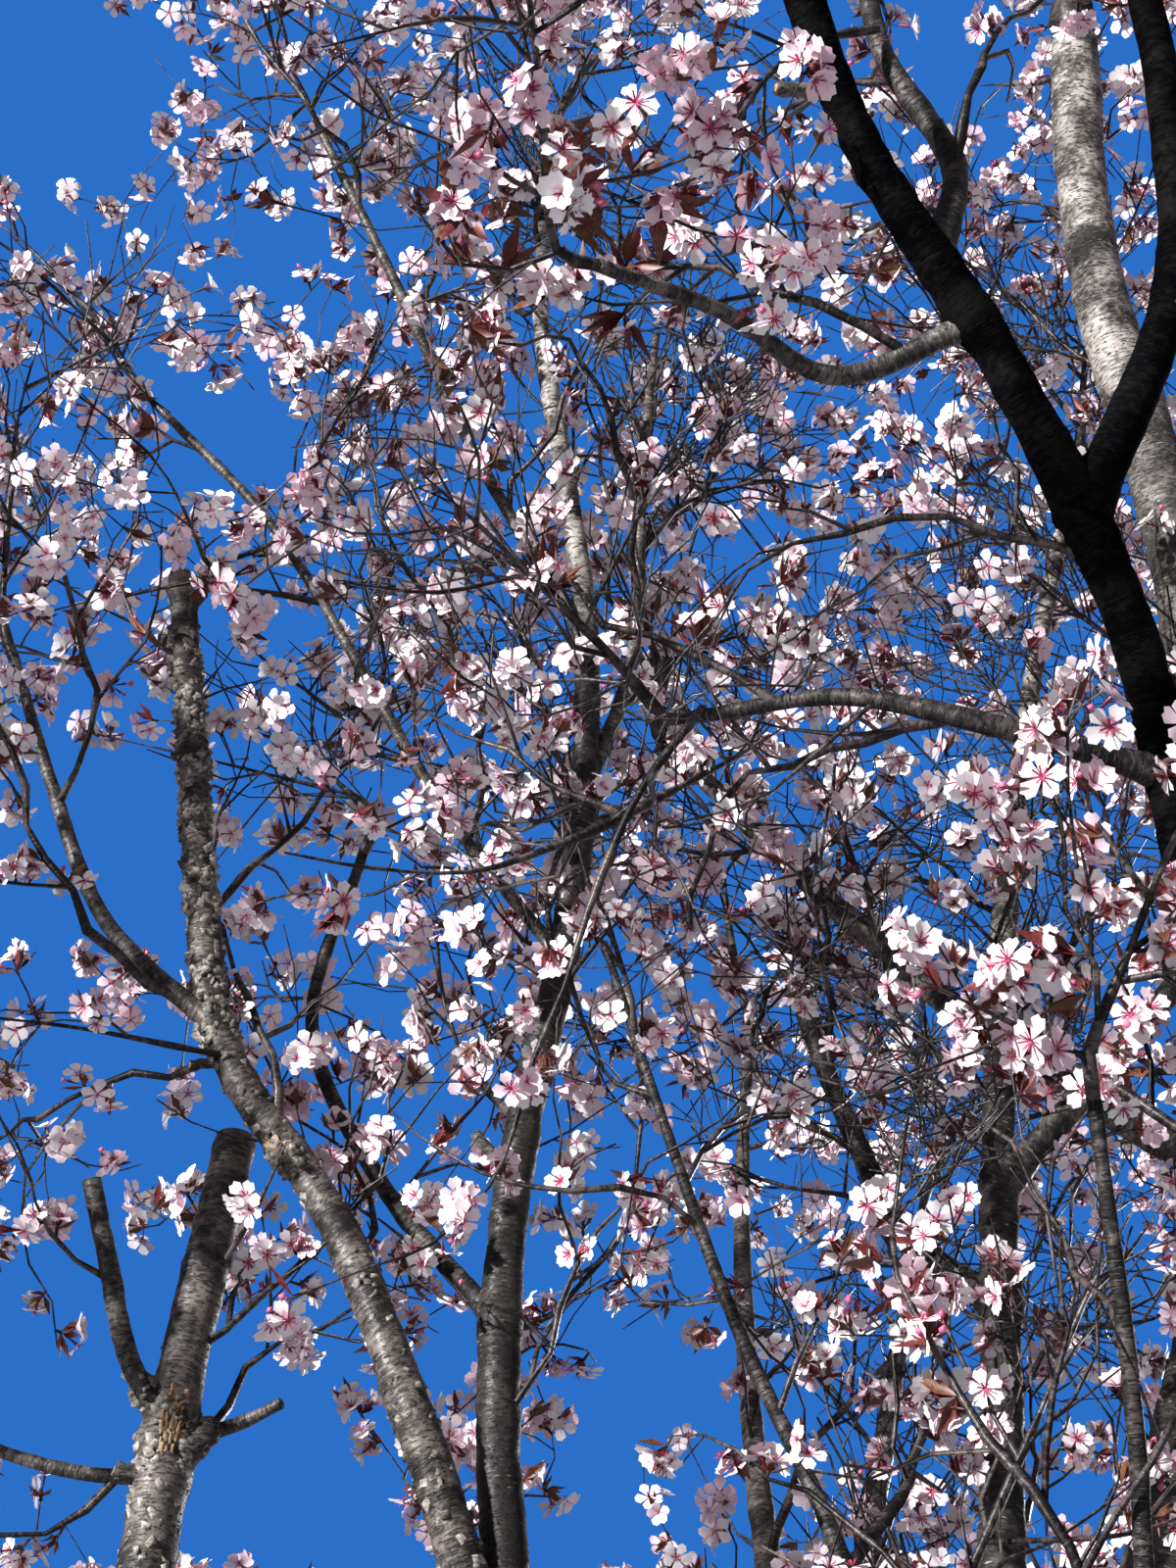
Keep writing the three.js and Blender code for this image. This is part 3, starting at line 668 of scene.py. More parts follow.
def in_frame(places, margin=40):
    x, y, depth = photo_pixels(places)
    return ((x > -margin) & (x < PHOTO_WIDTH + margin) & (y > -margin) & (y < PHOTO_HEIGHT + margin)
            & (depth > 0.1))


# Where the photograph shows near, larger blossom: x, y, half width, half height.
NEAR_AREAS = {
    "top_middle": (660, 190, 210, 170),
    "right_middle": (1080, 930, 150, 220),
    "right_low": (930, 1340, 110, 130),
    "left_low": (330, 1370, 80, 90),
}
NEAR_AREA_DEPTH = 3.2


# Where the photograph shows its thickest tangle of twigs: x, y, half width, half height, and in the densest
# how many leaves more a spur has.
DENSE_AREAS = {
    "right_of_leader_high": (800, 330, 190, 170),
    "right_middle": (1000, 760, 190, 130),
    "right_low": (960, 1050, 150, 150),
    "upper_left": (330, 250, 270, 240),
}
DENSEST_AREAS = {
    "between_leader_and_black": (930, 490, 230, 230, 2),
}

# Where the photograph shows more or less blossom than elsewhere: x, y, half width, half height, and how much.
BLOSSOM_AREAS = {
    "centre": (640, 720, 280, 260, 2.0),
    "centre_low": (640, 1030, 300, 130, 1.6),
    "middle_right": (850, 470, 150, 110, 1.6),
    "top_centre": (620, 80, 160, 100, 1.4),
    "left_edge": (40, 560, 70, 80, 1.8),
    "low_right": (950, 1080, 160, 110, 1.6),
    "beside_black_foot": (1120, 730, 110, 60, 0.5),
    "left_low": (120, 930, 150, 80, 0.5),
    "left_edge_low": (50, 1050, 60, 50, 0.5),
    "upper_left_edge": (110, 240, 110, 60, 0.5),
    "left_of_leader_high": (420, 470, 130, 170, 1.7),
    "top_left_of_centre": (480, 150, 110, 80, 1.5),
    "left_of_leader": (470, 1040, 90, 60, 1.8),
    "gap_left_of_leader": (450, 1150, 50, 50, 0.2),
    "between_the_boughs": (300, 1180, 80, 90, 1.6),
    "beside_left_bough": (60, 1440, 70, 160, 0.3),
    "left_bough_cut": (170, 1290, 70, 90, 1.7),
    "gap_low": (650, 1380, 60, 60, 0.35),
    "gap_lowest": (740, 1550, 80, 60, 0.2),
    "right_edge_low": (1090, 1080, 110, 90, 1.6),
    "beside_low_branch": (980, 750, 90, 50, 0.6),
    "left_of_the_knee": (250, 850, 60, 50, 0.4),
    "high_left_of_black": (690, 310, 90, 80, 0.6),
    "by_black_bough": (850, 250, 50, 60, 1.6),
    "right_of_the_knot": (850, 950, 60, 60, 2.2),
}


def photo_share(areas, places):
    """1 where the places fall in one of the photograph's areas, or the area's own number, and 0 elsewhere."""
    x, y, _ = photo_pixels(places)
    out = np.zeros(len(places))
    for cx, cy, rx, ry, *amount in areas.values():
        within = ((x - cx) / rx) ** 2 + ((y - cy) / ry) ** 2 < 1
        out[within] = amount[0] if amount else 1
    return out


# Stretches of limbs that the photograph shows bare, with little in front of them.
CLEAR_STRETCHES = [
    ("left_bough", 0.55, 1.0),
    ("left_stub", 0.0, 1.0),
    ("crossing_bough", 0.0, 1.0),
    ("leader_bough", 0.3, 0.55),
    ("leader_bough", 0.77, 0.97),
    ("front_right_bough", 0.58, 0.95),
    ("front_right_fork", 0.0, 0.8),
    ("back_right_bough", 0.76, 1.0),
]
CLEAR_MARGIN = 10
CLEAR_SPOT_SPACING = 0.04
LEFT_OUT_IN_FRONT = 0.85
clear_spots = []
for name, low, high in CLEAR_STRETCHES:
    points = smooth_path(runs[name], CLEAR_SPOT_SPACING)
    share = path_lengths(points) / path_lengths(points)[-1]
    x, y, depth = photo_pixels(points)
    spots = np.stack([x, y, depth, limb_radius(name, share) * FOCAL_PIXELS / depth], 1)
    clear_spots.append(spots[(share >= low) & (share <= high)])
clear_spots = np.vstack(clear_spots)


def are_in_front(places):
    """Which places would hide a limb that the photograph shows bare."""
    x, y, depth = photo_pixels(places)
    gap = np.hypot(x[:, None] - clear_spots[:, 0], y[:, None] - clear_spots[:, 1]) - clear_spots[:, 3]
    return ((gap < CLEAR_MARGIN) & (depth[:, None] < clear_spots[:, 2])).any(1)


# ---- twigs ----

LIMB_SHOOT_SPACING = 0.13
LIMB_SHOOT_LENGTH = (0.3, 0.95)
FINE_TWIG_SPACING = 0.075
FINE_TWIG_LENGTH = (0.16, 0.46)
SPRIG_SPACING = 0.07
SPRIG_LENGTH = (0.05, 0.18)
DENSE_SPACING = 0.09
DENSEST_SPACING = 0.043
DENSE_LENGTH = (0.12, 0.36)
FIRST_SIDE_TWIG = {1: 0.05, 2: 0.06, 3: 0.1}  # by the side twig's order, as a share of its parent's length
FINE_TWIG_STEP = 0.06
FINE_TWIG_STRAY = 0.95
FINE_TWIG_LIFT = 0.09
FINE_TWIG_RISE = 0.12
FINE_TWIG_ANGLES = (32, 68)
FINE_TWIG_TURN = 35  # either way from the golden spiral, in degrees
FINE_TWIG_SHORTENING = (1.15, 0.5)  # at the parent's foot, and how much less at its tip
FINE_TWIG_CLEARANCE = 0.012
FINE_FOOT_RADIUS = 0.0019
FOOT_RADIUS_PER_METRE = 0.0075
PARENT_RADIUS_SHARE = 0.75
FINE_TIP_RADIUS = 0.0013
TWIG_SINK = 0.004  # how far a twig's foot goes into what it grows on
TWIG_POINT_SPACING = 0.05
LIMB_POINT_SPACING = 0.06
TAPER_POWER = 0.8
SWELLING = 0.28
SHOOTS_LEFT_OUT_NEAR = 0.55
NEAR_SHOOT_DEPTH = 2.9
LEFT_OUT_UNSEEN = {1: 0.3, 2: 0.3, 3: 0.6}
HIDING_SHARE = 0.2
STEM_HIDING_SHARE = 0.3
CROWN_SLACK = 1.15
LIMB_REACH = 0.55
BOX_SLACK = 0.03

crown_low = np.array(cad_box[0]) - BOX_SLACK
crown_high = np.array(cad_box[1]) + BOX_SLACK
crown_low[2] = CROWN_FLOOR
twigs = []  # (mass or None, order, points, foot radius, tip radius)


def are_in_crown(places):
    """Which places lie within the crown's reach and clear of the limbs."""
    boxed = ((places > crown_low) & (places < crown_high)).all(1)
    near = (np.linalg.norm(places[:, None] - mass_centres, axis=2) / mass_reaches).min(1) <= CROWN_SLACK
    gap = limb_clearance(places)
    return boxed & (near | (gap < LIMB_REACH)) & (gap > FINE_TWIG_CLEARANCE)


def add_side_twigs(mass, order, points, foot, tip, spacing, lengths):
    """Side twigs round a golden spiral on the twig that points follow."""
    along = path_lengths(points)
    first = FIRST_SIDE_TWIG[order]
    turn = rng.uniform(0, 360)
    for k in range(int(along[-1] * (1 - first) / spacing)):
        at = first * along[-1] + (k + rng.uniform(0.2, 0.8)) * spacing
        share = at / along[-1]
        place, direction = place_along(points, along, at)
        turn += GOLDEN_ANGLE + rng.uniform(-FINE_TWIG_TURN, FINE_TWIG_TURN)
        heading = unit(leaning(direction, turn, rng.uniform(*FINE_TWIG_ANGLES)) + UP * FINE_TWIG_RISE)
        length = rng.uniform(*lengths) * (FINE_TWIG_SHORTENING[0] - FINE_TWIG_SHORTENING[1] * share)
        steps = max(2, round(length / FINE_TWIG_STEP))
        path = straying_points(place, heading, length, steps, FINE_TWIG_STRAY, FINE_TWIG_LIFT, rng.random)
        end = path[-1:]
        if rng.random() < sky_share(path[len(path) // 2][None])[0]:
            continue
        if not in_frame(end)[0] and rng.random() < LEFT_OUT_UNSEEN[order]:
            continue
        is_near = photo_pixels(end)[2][0] < NEAR_SHOOT_DEPTH
        if mass is None and is_near and rng.random() < SHOOTS_LEFT_OUT_NEAR:
            continue
        if are_in_front(path).mean() > HIDING_SHARE and rng.random() < LEFT_OUT_IN_FRONT:
            continue
        skipped = 1 if mass is not None else 2
        if mass is not None and order < 3:
            free = are_free(mass, path[skipped:], FINE_TWIG_CLEARANCE)
        else:
            free = are_in_crown(path[skipped:])
        if not free.all():
            path = path[:skipped + int(np.argmin(free))]
        if len(path) < 3:
            continue
        here = foot + (tip - foot) * share
        radius = min(PARENT_RADIUS_SHARE * here, FINE_FOOT_RADIUS + FOOT_RADIUS_PER_METRE * length)
        twigs.append((mass, order, path, max(radius, FINE_TIP_RADIUS * 1.2), FINE_TIP_RADIUS))


# Long twigs that stand out in the photograph, by the pixels that they pass, with their depth at each end.
LONG_TWIG_FOOT = 0.0065
LONG_TWIGS = {
    "over_the_black_bough": ((2.84, 2.42), [
        (893, 30), (832, 42), (786, 75), (753, 120), (722, 160), (680, 205), (610, 212)]),
    "drooping_from_the_knot": ((2.66, 2.3), [
        (716, 724), (672, 780), (640, 832), (600, 930), (575, 1010), (545, 1080), (525, 1150), (500, 1210),
        (440, 1270), (380, 1292), (310, 1320)]),
    "left_of_the_knot": ((2.62, 2.4), [(640, 832), (560, 866), (480, 890), (380, 886), (290, 870)]),
    "up_from_the_knot": ((2.62, 2.9), [(640, 832), (700, 800), (752, 772), (800, 742)]),
    "left_of_the_knee": ((3.2, 3.05), [(232, 1078), (180, 1068), (120, 1056), (60, 1046), (-30, 1036)]),
    "right_of_the_knot": ((2.62, 2.75), [(640, 832), (560, 800), (520, 765), (470, 750), (400, 700)]),
}
for (near, far), pixels in LONG_TWIGS.values():
    depths = np.linspace(near, far, len(pixels))
    points = np.array([place_in_photo(x, y, depth) for (x, y), depth in zip(pixels, depths)])
    twigs.append((None, 1, smooth_path(points, TWIG_POINT_SPACING), LONG_TWIG_FOOT, FINE_TIP_RADIUS))

for name, limb in LIMBS.items():
    points = smooth_path(runs[name], LIMB_POINT_SPACING)
    points = points[points[:, 2] > CROWN_FLOOR - 0.1]
    if len(points) > 3:
        add_side_twigs(None, 1, points, limb["foot"], limb["tip"], LIMB_SHOOT_SPACING, LIMB_SHOOT_LENGTH)
for mass in masses:
    for points, foot, tip in grow_twigs(mass):
        if are_in_front(points).mean() > STEM_HIDING_SHARE and rng.random() < LEFT_OUT_IN_FRONT:
            continue
        twigs.append((mass, 1, smooth_path(points, TWIG_POINT_SPACING), foot, FINE_TIP_RADIUS))
for mass, order, points, foot, tip in list(twigs):
    add_side_twigs(mass, 2, points, foot, tip, FINE_TWIG_SPACING, FINE_TWIG_LENGTH)
for mass, order, points, foot, tip in list(twigs):
    if order == 2:
        add_side_twigs(mass, 3, points, foot, tip, SPRIG_SPACING, SPRIG_LENGTH)
for areas, spacing in ((DENSE_AREAS, DENSE_SPACING), (DENSEST_AREAS, DENSEST_SPACING)):
    for mass, order, points, foot, tip in list(twigs):
        if order < 3 and photo_share(areas, points[len(points) // 2][None])[0]:
            add_side_twigs(mass, 3, points, foot, tip, spacing, DENSE_LENGTH)

twig_pile = Pile()
for mass, order, points, foot, tip in twigs:
    along = path_lengths(points)
    radii = foot + (tip - foot) * (along / along[-1]) ** TAPER_POWER
    radii = radii * (1 + SWELLING * rng.uniform(-1, 1, len(points)))
    start = points[0] - unit(points[1] - points[0]) * min(TWIG_SINK, foot)
    points = np.vstack([start, points[1:]])
    sides = 5 if order == 1 else 3
    verts, faces = tube(points, radii, sides, cap_tip=False)
    angle = np.tile(round_angles(sides), len(points))
    r = np.repeat(radii, sides)
    places = np.stack([r * np.cos(angle), r * np.sin(angle), np.repeat(along, sides)], -1)
    twig_pile.add(verts, faces, places + rng.uniform(0, BARK_SHIFT, 3))


# ---- flower clusters ----

CLUSTER_SPACING = 0.045
CLUSTER_SPREAD = (0.7, 1.3)
FIRST_CLUSTER = {1: 0.25, 2: 0.12, 3: 0.2}  # by the twig's order, as a share of its length
FRAME_MARGIN = 20
SPUR_LEAN = 0.5
SPUR_LENGTH = (0.006, 0.018)
FLOWER_COUNTS = {1: 0.08, 2: 0.17, 3: 0.25, 4: 0.25, 5: 0.15, 6: 0.1}  # flowers in a cluster, and how often
FLOWERS_OUT_OF_FRAME = 13000
FLOWER_DIAMETER = 0.05
FLOWER_SIZES = (0.88, 1.12)
NEAR_FLOWER_SHARE = 0.88
PEDICEL_LENGTH = (0.012, 0.03)
STALK_TURN = 2.4
STALK_TURN_STRAY = 0.4
STALK_SPREAD = (0.35, 1.15)
LONE_SPREAD_SHARE = 0.4
STALK_DROOP = 0.12
FLOWER_STRAY = 0.5
FLOWER_DROOP = 0.22
BUD_SHARE = 0.1
CELL = 50  # of the grid that counts the blossom over the picture, in pixels
BLOSSOM_COVER = 1.25
FLOWER_COVER_SHARE = 0.6
NEAREST_DEPTH = 2.7

sites = []  # (place, direction of the spur)
for mass, order, points, foot, tip in twigs:
    along = path_lengths(points)
    at = FIRST_CLUSTER[order] * along[-1] + rng.uniform(0, CLUSTER_SPACING)
    turn = rng.uniform(0, 360)
    while at < along[-1]:
        place, direction = place_along(points, along, at)
        turn += GOLDEN_ANGLE
        sites.append((place, unit(direction * SPUR_LEAN + side_of(direction, turn))))
        at += CLUSTER_SPACING * rng.uniform(*CLUSTER_SPREAD)
    sites.append((points[-1], unit(points[-1] - points[-2])))
site_places, site_ways = (np.array(part) for part in zip(*sites))
flower_counts = rng.choice(list(FLOWER_COUNTS), len(sites), p=list(FLOWER_COUNTS.values()))

# In the photograph's frame the clusters are dealt out evenly over the picture, but for its sky.
framed = in_frame(site_places, FRAME_MARGIN)
keep = np.zeros(len(sites), bool)
px, py, depth = photo_pixels(site_places)
columns, rows = PHOTO_WIDTH // CELL + 2, PHOTO_HEIGHT // CELL + 2
cover = np.zeros((rows, columns))
wanted = photo_share(BLOSSOM_AREAS, site_places)
wanted[wanted == 0] = 1
wanted *= BLOSSOM_COVER * (1 - sky_share(site_places))
bare = are_in_front(site_places) & (rng.random(len(sites)) < LEFT_OUT_IN_FRONT)
near_there = photo_share(NEAR_AREAS, site_places)
turns = rng.random(len(sites)) + near_there * (depth - NEAR_AREA_DEPTH)
turns += np.where(near_there == 0, np.clip(NEAREST_DEPTH - depth, 0, 1), 0)
for i in np.argsort(turns):
    if not framed[i] or bare[i]:
        continue
    c, r = int(np.clip(px[i] // CELL + 1, 0, columns - 1)), int(np.clip(py[i] // CELL + 1, 0, rows - 1))
    if cover[r, c] < wanted[i]:
        keep[i] = True
        size = FOCAL_PIXELS * FLOWER_DIAMETER / depth[i]
        cover[r, c] += flower_counts[i] * FLOWER_COVER_SHARE * size * size / CELL**2
outside = ~framed
keep[outside] = rng.random(outside.sum()) < FLOWERS_OUT_OF_FRAME / flower_counts[outside].sum()
site_places, site_ways, flower_counts = site_places[keep], site_ways[keep], flower_counts[keep]
site_count = len(site_places)
spur_tips = site_places + site_ways * rng.uniform(*SPUR_LENGTH, site_count)[:, None]

owner = np.repeat(np.arange(site_count), flower_counts)
count = len(owner)
order_in = np.concatenate([np.arange(c) for c in flower_counts])
spin = rng.uniform(0, math.tau, site_count)[owner] + order_in * STALK_TURN
spin += rng.uniform(-STALK_TURN_STRAY, STALK_TURN_STRAY, count)
spread = rng.uniform(*STALK_SPREAD, count) * np.where(flower_counts[owner] == 1, LONE_SPREAD_SHARE, 1)

stalk_way = unit(spread_ways(site_ways[owner], spin, spread)[0] - UP * STALK_DROOP)
hearts = spur_tips[owner] + stalk_way * rng.uniform(*PEDICEL_LENGTH, count)[:, None]
facing = unit(stalk_way + rng.normal(0, FLOWER_STRAY, (count, 3)) - UP * FLOWER_DROOP)
is_bud = rng.random(count) < BUD_SHARE

# Petals by how closely they are seen. Each is an inner, deeper part and an outer, paler one: points are
# (u from the heart outwards, v across).
NEAR_DEPTH = 3.2
PETALS = {
    "near": dict(inner=[(0.03, 0), (0.28, -0.16), (0.28, 0.16), (0.5, 0)], inner_faces=[(0, 1, 3), (0, 3, 2)],
                 outer=[(0.28, -0.16), (0.72, -0.38), (0.98, -0.18), (0.9, 0), (0.98, 0.18), (0.72, 0.38),
                        (0.28, 0.16), (0.5, 0)],
                 outer_faces=[(0, 1, 7), (1, 2, 7), (2, 3, 7), (3, 4, 7), (4, 5, 7), (5, 6, 7)]),
    "middle": dict(inner=[(0.03, 0), (0.32, -0.17), (0.32, 0.17)], inner_faces=[(0, 1, 2)],
                   outer=[(0.32, -0.17), (0.72, -0.38), (0.99, -0.16), (0.99, 0.16), (0.72, 0.38),
                          (0.32, 0.17)],
                   outer_faces=[(0, 1, 5), (1, 4, 5), (1, 2, 4), (2, 3, 4)]),
    "far": dict(inner=[(0.03, 0), (0.36, -0.2), (0.36, 0.2)], inner_faces=[(0, 1, 2)],
                outer=[(0.36, -0.2), (0.94, -0.32), (0.94, 0.32), (0.36, 0.2)],
                outer_faces=[(0, 1, 3), (1, 2, 3)]),
}

PETALS_IN_A_FLOWER = 5
PETAL_TILTS = {0.12: 0.37, 0.35: 0.33, 0.7: 0.2, -0.15: 0.1}  # how far petals rise, and how often
PETAL_CUPS = (0.1, 0.55)
CUP_ACROSS = 1.6
CUP_ALONG = 0.45
TINT_SHARES = [0.4, 0.38, 0.22]
STRAY_TINTS = 0.2
DEEP_BASES = 0.45

is_open = ~is_bud
centres, ways, open_owner = hearts[is_open], facing[is_open], owner[is_open]
n = len(centres)
seen = in_frame(centres)
close = seen & (photo_pixels(centres)[2] < NEAR_DEPTH)
levels = np.where(close, "near", np.where(seen, "middle", "far"))
radii = FLOWER_DIAMETER / 2 * rng.uniform(*FLOWER_SIZES, n) * np.where(close, NEAR_FLOWER_SHARE, 1)
spins = rng.uniform(0, math.tau, n)
tilts = rng.choice(list(PETAL_TILTS), n, p=list(PETAL_TILTS.values())) + rng.uniform(-0.1, 0.1, n)
cups = rng.uniform(*PETAL_CUPS, n)
tints = rng.choice(3, site_count, p=TINT_SHARES)[open_owner]
tints = np.where(rng.random(n) < STRAY_TINTS, rng.choice(3, n), tints)
e1, e2 = bases(ways)
petals = (n, PETALS_IN_A_FLOWER)
fifths = round_angles(PETALS_IN_A_FLOWER)
phi = spins[:, None] + fifths + rng.uniform(-0.07, 0.07, petals)
tilt = tilts[:, None] + rng.uniform(-0.13, 0.13, petals)
length = radii[:, None] * rng.uniform(0.93, 1.06, petals)
radial = round_about(e1, e2, phi)
across = round_about(e1, e2, phi + math.pi / 2)
axis = radial * np.cos(tilt)[..., None] + ways[:, None] * np.sin(tilt)[..., None]
normal = -radial * np.sin(tilt)[..., None] + ways[:, None] * np.cos(tilt)[..., None]


def add_petals(pile, chosen, outline, faces):
    """The outline on every petal of the chosen flowers."""
    u, v = np.array(outline, float).T
    w = cups[chosen][:, None, None] * (CUP_ACROSS * v**2 - CUP_ALONG * u**2)
    offset = (u[:, None] * axis[chosen][:, :, None] + v[:, None] * across[chosen][:, :, None]
              + w[..., None] * normal[chosen][:, :, None])
    pile.tile(centres[chosen][:, None, None] + length[chosen][..., None, None] * offset, faces)


petal_piles = [Pile() for _ in range(3)]
base_piles = [Pile(), Pile()]
deep = (rng.random(site_count) < DEEP_BASES)[open_owner]
for level, petal in PETALS.items():
    for tint, pile in enumerate(petal_piles):
        add_petals(pile, (levels == level) & (tints == tint), petal["outer"], petal["outer_faces"])
    for is_deep, pile in enumerate(base_piles):
        add_petals(pile, (levels == level) & (deep == bool(is_deep)), petal["inner"], petal["inner_faces"])

# Hearts: a star of stamens in the flowers that the photograph shows, and a small cone in the rest.
HEART_LIFT = 0.0008
STAMEN_FOOT_SHARE = 0.02
STAMEN_REACH_SHARE = 0.36
STAMEN_RISE_SHARE = 0.3
STAMEN_HALF_WIDTH_SHARE = 0.04
HEART_RADIUS_SHARE = 0.17
HEART_RISE_SHARE = 0.22
heart_pile = Pile()
for stamens, chosen, corners in ((7, levels == "near", 4), (5, levels == "middle", 3)):
    size = radii[chosen][:, None, None]
    turn = spins[chosen][:, None] + (np.arange(stamens) + 0.5 + rng.uniform(-0.25, 0.25)) * math.tau / stamens
    out = round_about(e1[chosen], e2[chosen], turn)
    aside = round_about(e1[chosen], e2[chosen], turn + math.pi / 2) * size * STAMEN_HALF_WIDTH_SHARE
    foot = (centres[chosen] + ways[chosen] * HEART_LIFT)[:, None] + out * size * STAMEN_FOOT_SHARE
    end = foot + out * size * STAMEN_REACH_SHARE + ways[chosen][:, None] * size * STAMEN_RISE_SHARE
    points = [foot - aside, foot + aside, end + aside, end - aside]
    heart_pile.tile(np.stack(points[:corners], 2), [(0, 1, 2), (0, 2, 3)][:corners - 2])
chosen = levels == "far"
turn = spins[chosen][:, None] + (np.arange(3) + 0.5) * math.tau / 3
rim = (centres[chosen][:, None] + ways[chosen][:, None] * HEART_LIFT
       + round_about(e1[chosen], e2[chosen], turn) * (radii[chosen] * HEART_RADIUS_SHARE)[:, None, None])
top = centres[chosen] + ways[chosen] * (radii[chosen] * HEART_RISE_SHARE)[:, None]
heart_pile.tile(np.concatenate([rim, top[:, None]], 1), fan(3, 3))

# Sepals behind the petals, and a stalk that widens into the calyx.
SEPAL_DROP = 0.0016
SEPAL_REACH_SHARE = 0.42
SEPAL_FOOT_SHARE = 0.14
SEPAL_HALF_ANGLE = 0.34 * 1.6
CALYX_DROP = 0.0015
CALYX_RADIUS = 0.0026
stalk_pile = Pile()
middle_phi = spins[:, None] + (np.arange(PETALS_IN_A_FLOWER) + 0.5) * math.tau / PETALS_IN_A_FLOWER
behind = (centres - ways * SEPAL_DROP)[:, None]
corners = [
    behind + round_about(e1, e2, middle_phi + turn) * (radii * share)[:, None, None]
    for turn, share in ((0, SEPAL_REACH_SHARE), (-SEPAL_HALF_ANGLE, SEPAL_FOOT_SHARE),
                        (SEPAL_HALF_ANGLE, SEPAL_FOOT_SHARE))
]
stalk_pile.tile(np.stack(corners, 2), [(0, 1, 2)])
head_ring = (hearts[:, None] - stalk_way[:, None] * CALYX_DROP
             + round_about(*bases(stalk_way), round_angles(3)) * CALYX_RADIUS)
stalk_pile.tile(np.concatenate([head_ring, spur_tips[owner][:, None]], 1), fan(3, 3))

# Buds: deep pink, pointed, on the same stalks.
BUD_LENGTH = (0.01, 0.017)
BUD_WAIST_SHARE = 0.55
BUD_RADIUS_SHARE = 0.36
bud_pile = Pile()
bud_foot, bud_way = hearts[is_bud], facing[is_bud]
bud_length = rng.uniform(*BUD_LENGTH, len(bud_way))
waist = (bud_foot[:, None] + (bud_way * (bud_length * BUD_WAIST_SHARE)[:, None])[:, None]
         + round_about(*bases(bud_way), round_angles(4)) * (bud_length * BUD_RADIUS_SHARE)[:, None, None])
bud_ends = np.stack([bud_foot - bud_way * 0.001, bud_foot + bud_way * bud_length[:, None]], 1)
bud_pile.tile(np.concatenate([waist, bud_ends], 1), fan(4, 5) + [(b, a, c) for a, b, c in fan(4, 4)])

# Young leaves, folded along the middle, in small sprays at the spurs.
LEAF = np.array([(0, 0, 0), (0.42, -0.16, 0.12), (0.5, 0, 0), (0.42, 0.16, 0.12), (1, 0, 0.14)])
LEAF_FACES = [(0, 1, 2), (0, 2, 3), (1, 4, 2), (2, 4, 3)]
LEAF_LENGTH = (0.02, 0.046)
LEAF_COUNTS = {0: 0.1, 1: 0.14, 2: 0.24, 3: 0.24, 4: 0.17, 5: 0.11}  # leaves at a spur, and how often
EXTRA_LEAF_SHARE = 0.5
LEAVES_KEPT_UNSEEN = 0.7
LEAF_OPENING = (0.25, 1.1)
LEAF_RISE = 0.15
LEAF_DROP = 0.003
BRONZE_SHARE = 0.35
TUFT_AREAS = {
    "left_of_leader": (425, 720, 75, 60),
    "on_the_leader": (650, 640, 110, 70),
    "left_middle": (330, 880, 80, 45),
    "above_crotch": (420, 1010, 60, 60),
    "top_right_edge": (1180, 510, 40, 50),
    "top_middle": (560, 300, 160, 160),
    "right_middle": (1110, 1000, 90, 60),
}
TUFT_LEAVES = 3
TUFT_SIZE = 1.45
tufted = photo_share(TUFT_AREAS, site_places) * (photo_pixels(site_places)[2] < NEAR_AREA_DEPTH)
leaf_counts = rng.choice(list(LEAF_COUNTS), site_count, p=list(LEAF_COUNTS.values()))
leaf_counts = leaf_counts + (tufted * TUFT_LEAVES).astype(int)
leaf_counts = leaf_counts + photo_share(DENSE_AREAS | DENSEST_AREAS, site_places).astype(int)
more = leaf_counts + 1 + (rng.random(site_count) < EXTRA_LEAF_SHARE)
kept_unseen = rng.random(site_count) < LEAVES_KEPT_UNSEEN
leaf_counts = np.where(in_frame(site_places), more, leaf_counts * kept_unseen)
leaf_owner = np.repeat(np.arange(site_count), leaf_counts)
k = len(leaf_owner)
turn, opening = rng.uniform(0, math.tau, k), rng.uniform(*LEAF_OPENING, k)
leaf_way, aside = spread_ways(site_ways[leaf_owner], turn, opening)
leaf_way = unit(leaf_way + UP * LEAF_RISE)
leaf_up = unit(np.cross(leaf_way, np.cross(aside, leaf_way)))
leaf_across = np.cross(leaf_way, leaf_up)
leaf_size = (rng.uniform(*LEAF_LENGTH, k) * np.where(tufted[leaf_owner] > 0, TUFT_SIZE, 1))[:, None, None]
leaf_foot = spur_tips[leaf_owner] - site_ways[leaf_owner] * LEAF_DROP
leaf_verts = leaf_foot[:, None] + leaf_size * (
    LEAF[:, 0, None] * leaf_way[:, None] + LEAF[:, 1, None] * leaf_across[:, None]
    + LEAF[:, 2, None] * leaf_up[:, None])
leaf_piles = [Pile(), Pile()]
is_bronze = rng.random(k) < BRONZE_SHARE
for tint, pile in enumerate(leaf_piles):
    pile.tile(leaf_verts[is_bronze == bool(tint)], LEAF_FACES)

# Spurs: short rough stubs that carry the clusters.
SPUR_FOOT_RADIUS = 0.0021
SPUR_TIP_RADIUS = 0.003
ring = round_about(*bases(site_ways), round_angles(3))
spur_verts = np.concatenate([site_places[:, None] - site_ways[:, None] * 0.001 + ring * SPUR_FOOT_RADIUS,
                             spur_tips[:, None] + ring * SPUR_TIP_RADIUS], 1)
pairs = [(i, (i + 1) % 3) for i in range(3)]
prism = [(i, j, 3 + j) for i, j in pairs] + [(i, 3 + j, 3 + i) for i, j in pairs]
spur_pile = Pile()
spur_pile.tile(spur_verts, prism, np.repeat(rng.uniform(0, BARK_SHIFT, (site_count, 1, 3)), 6, 1))


# ---- lips, flakes, scars and cut ends on the bark ----

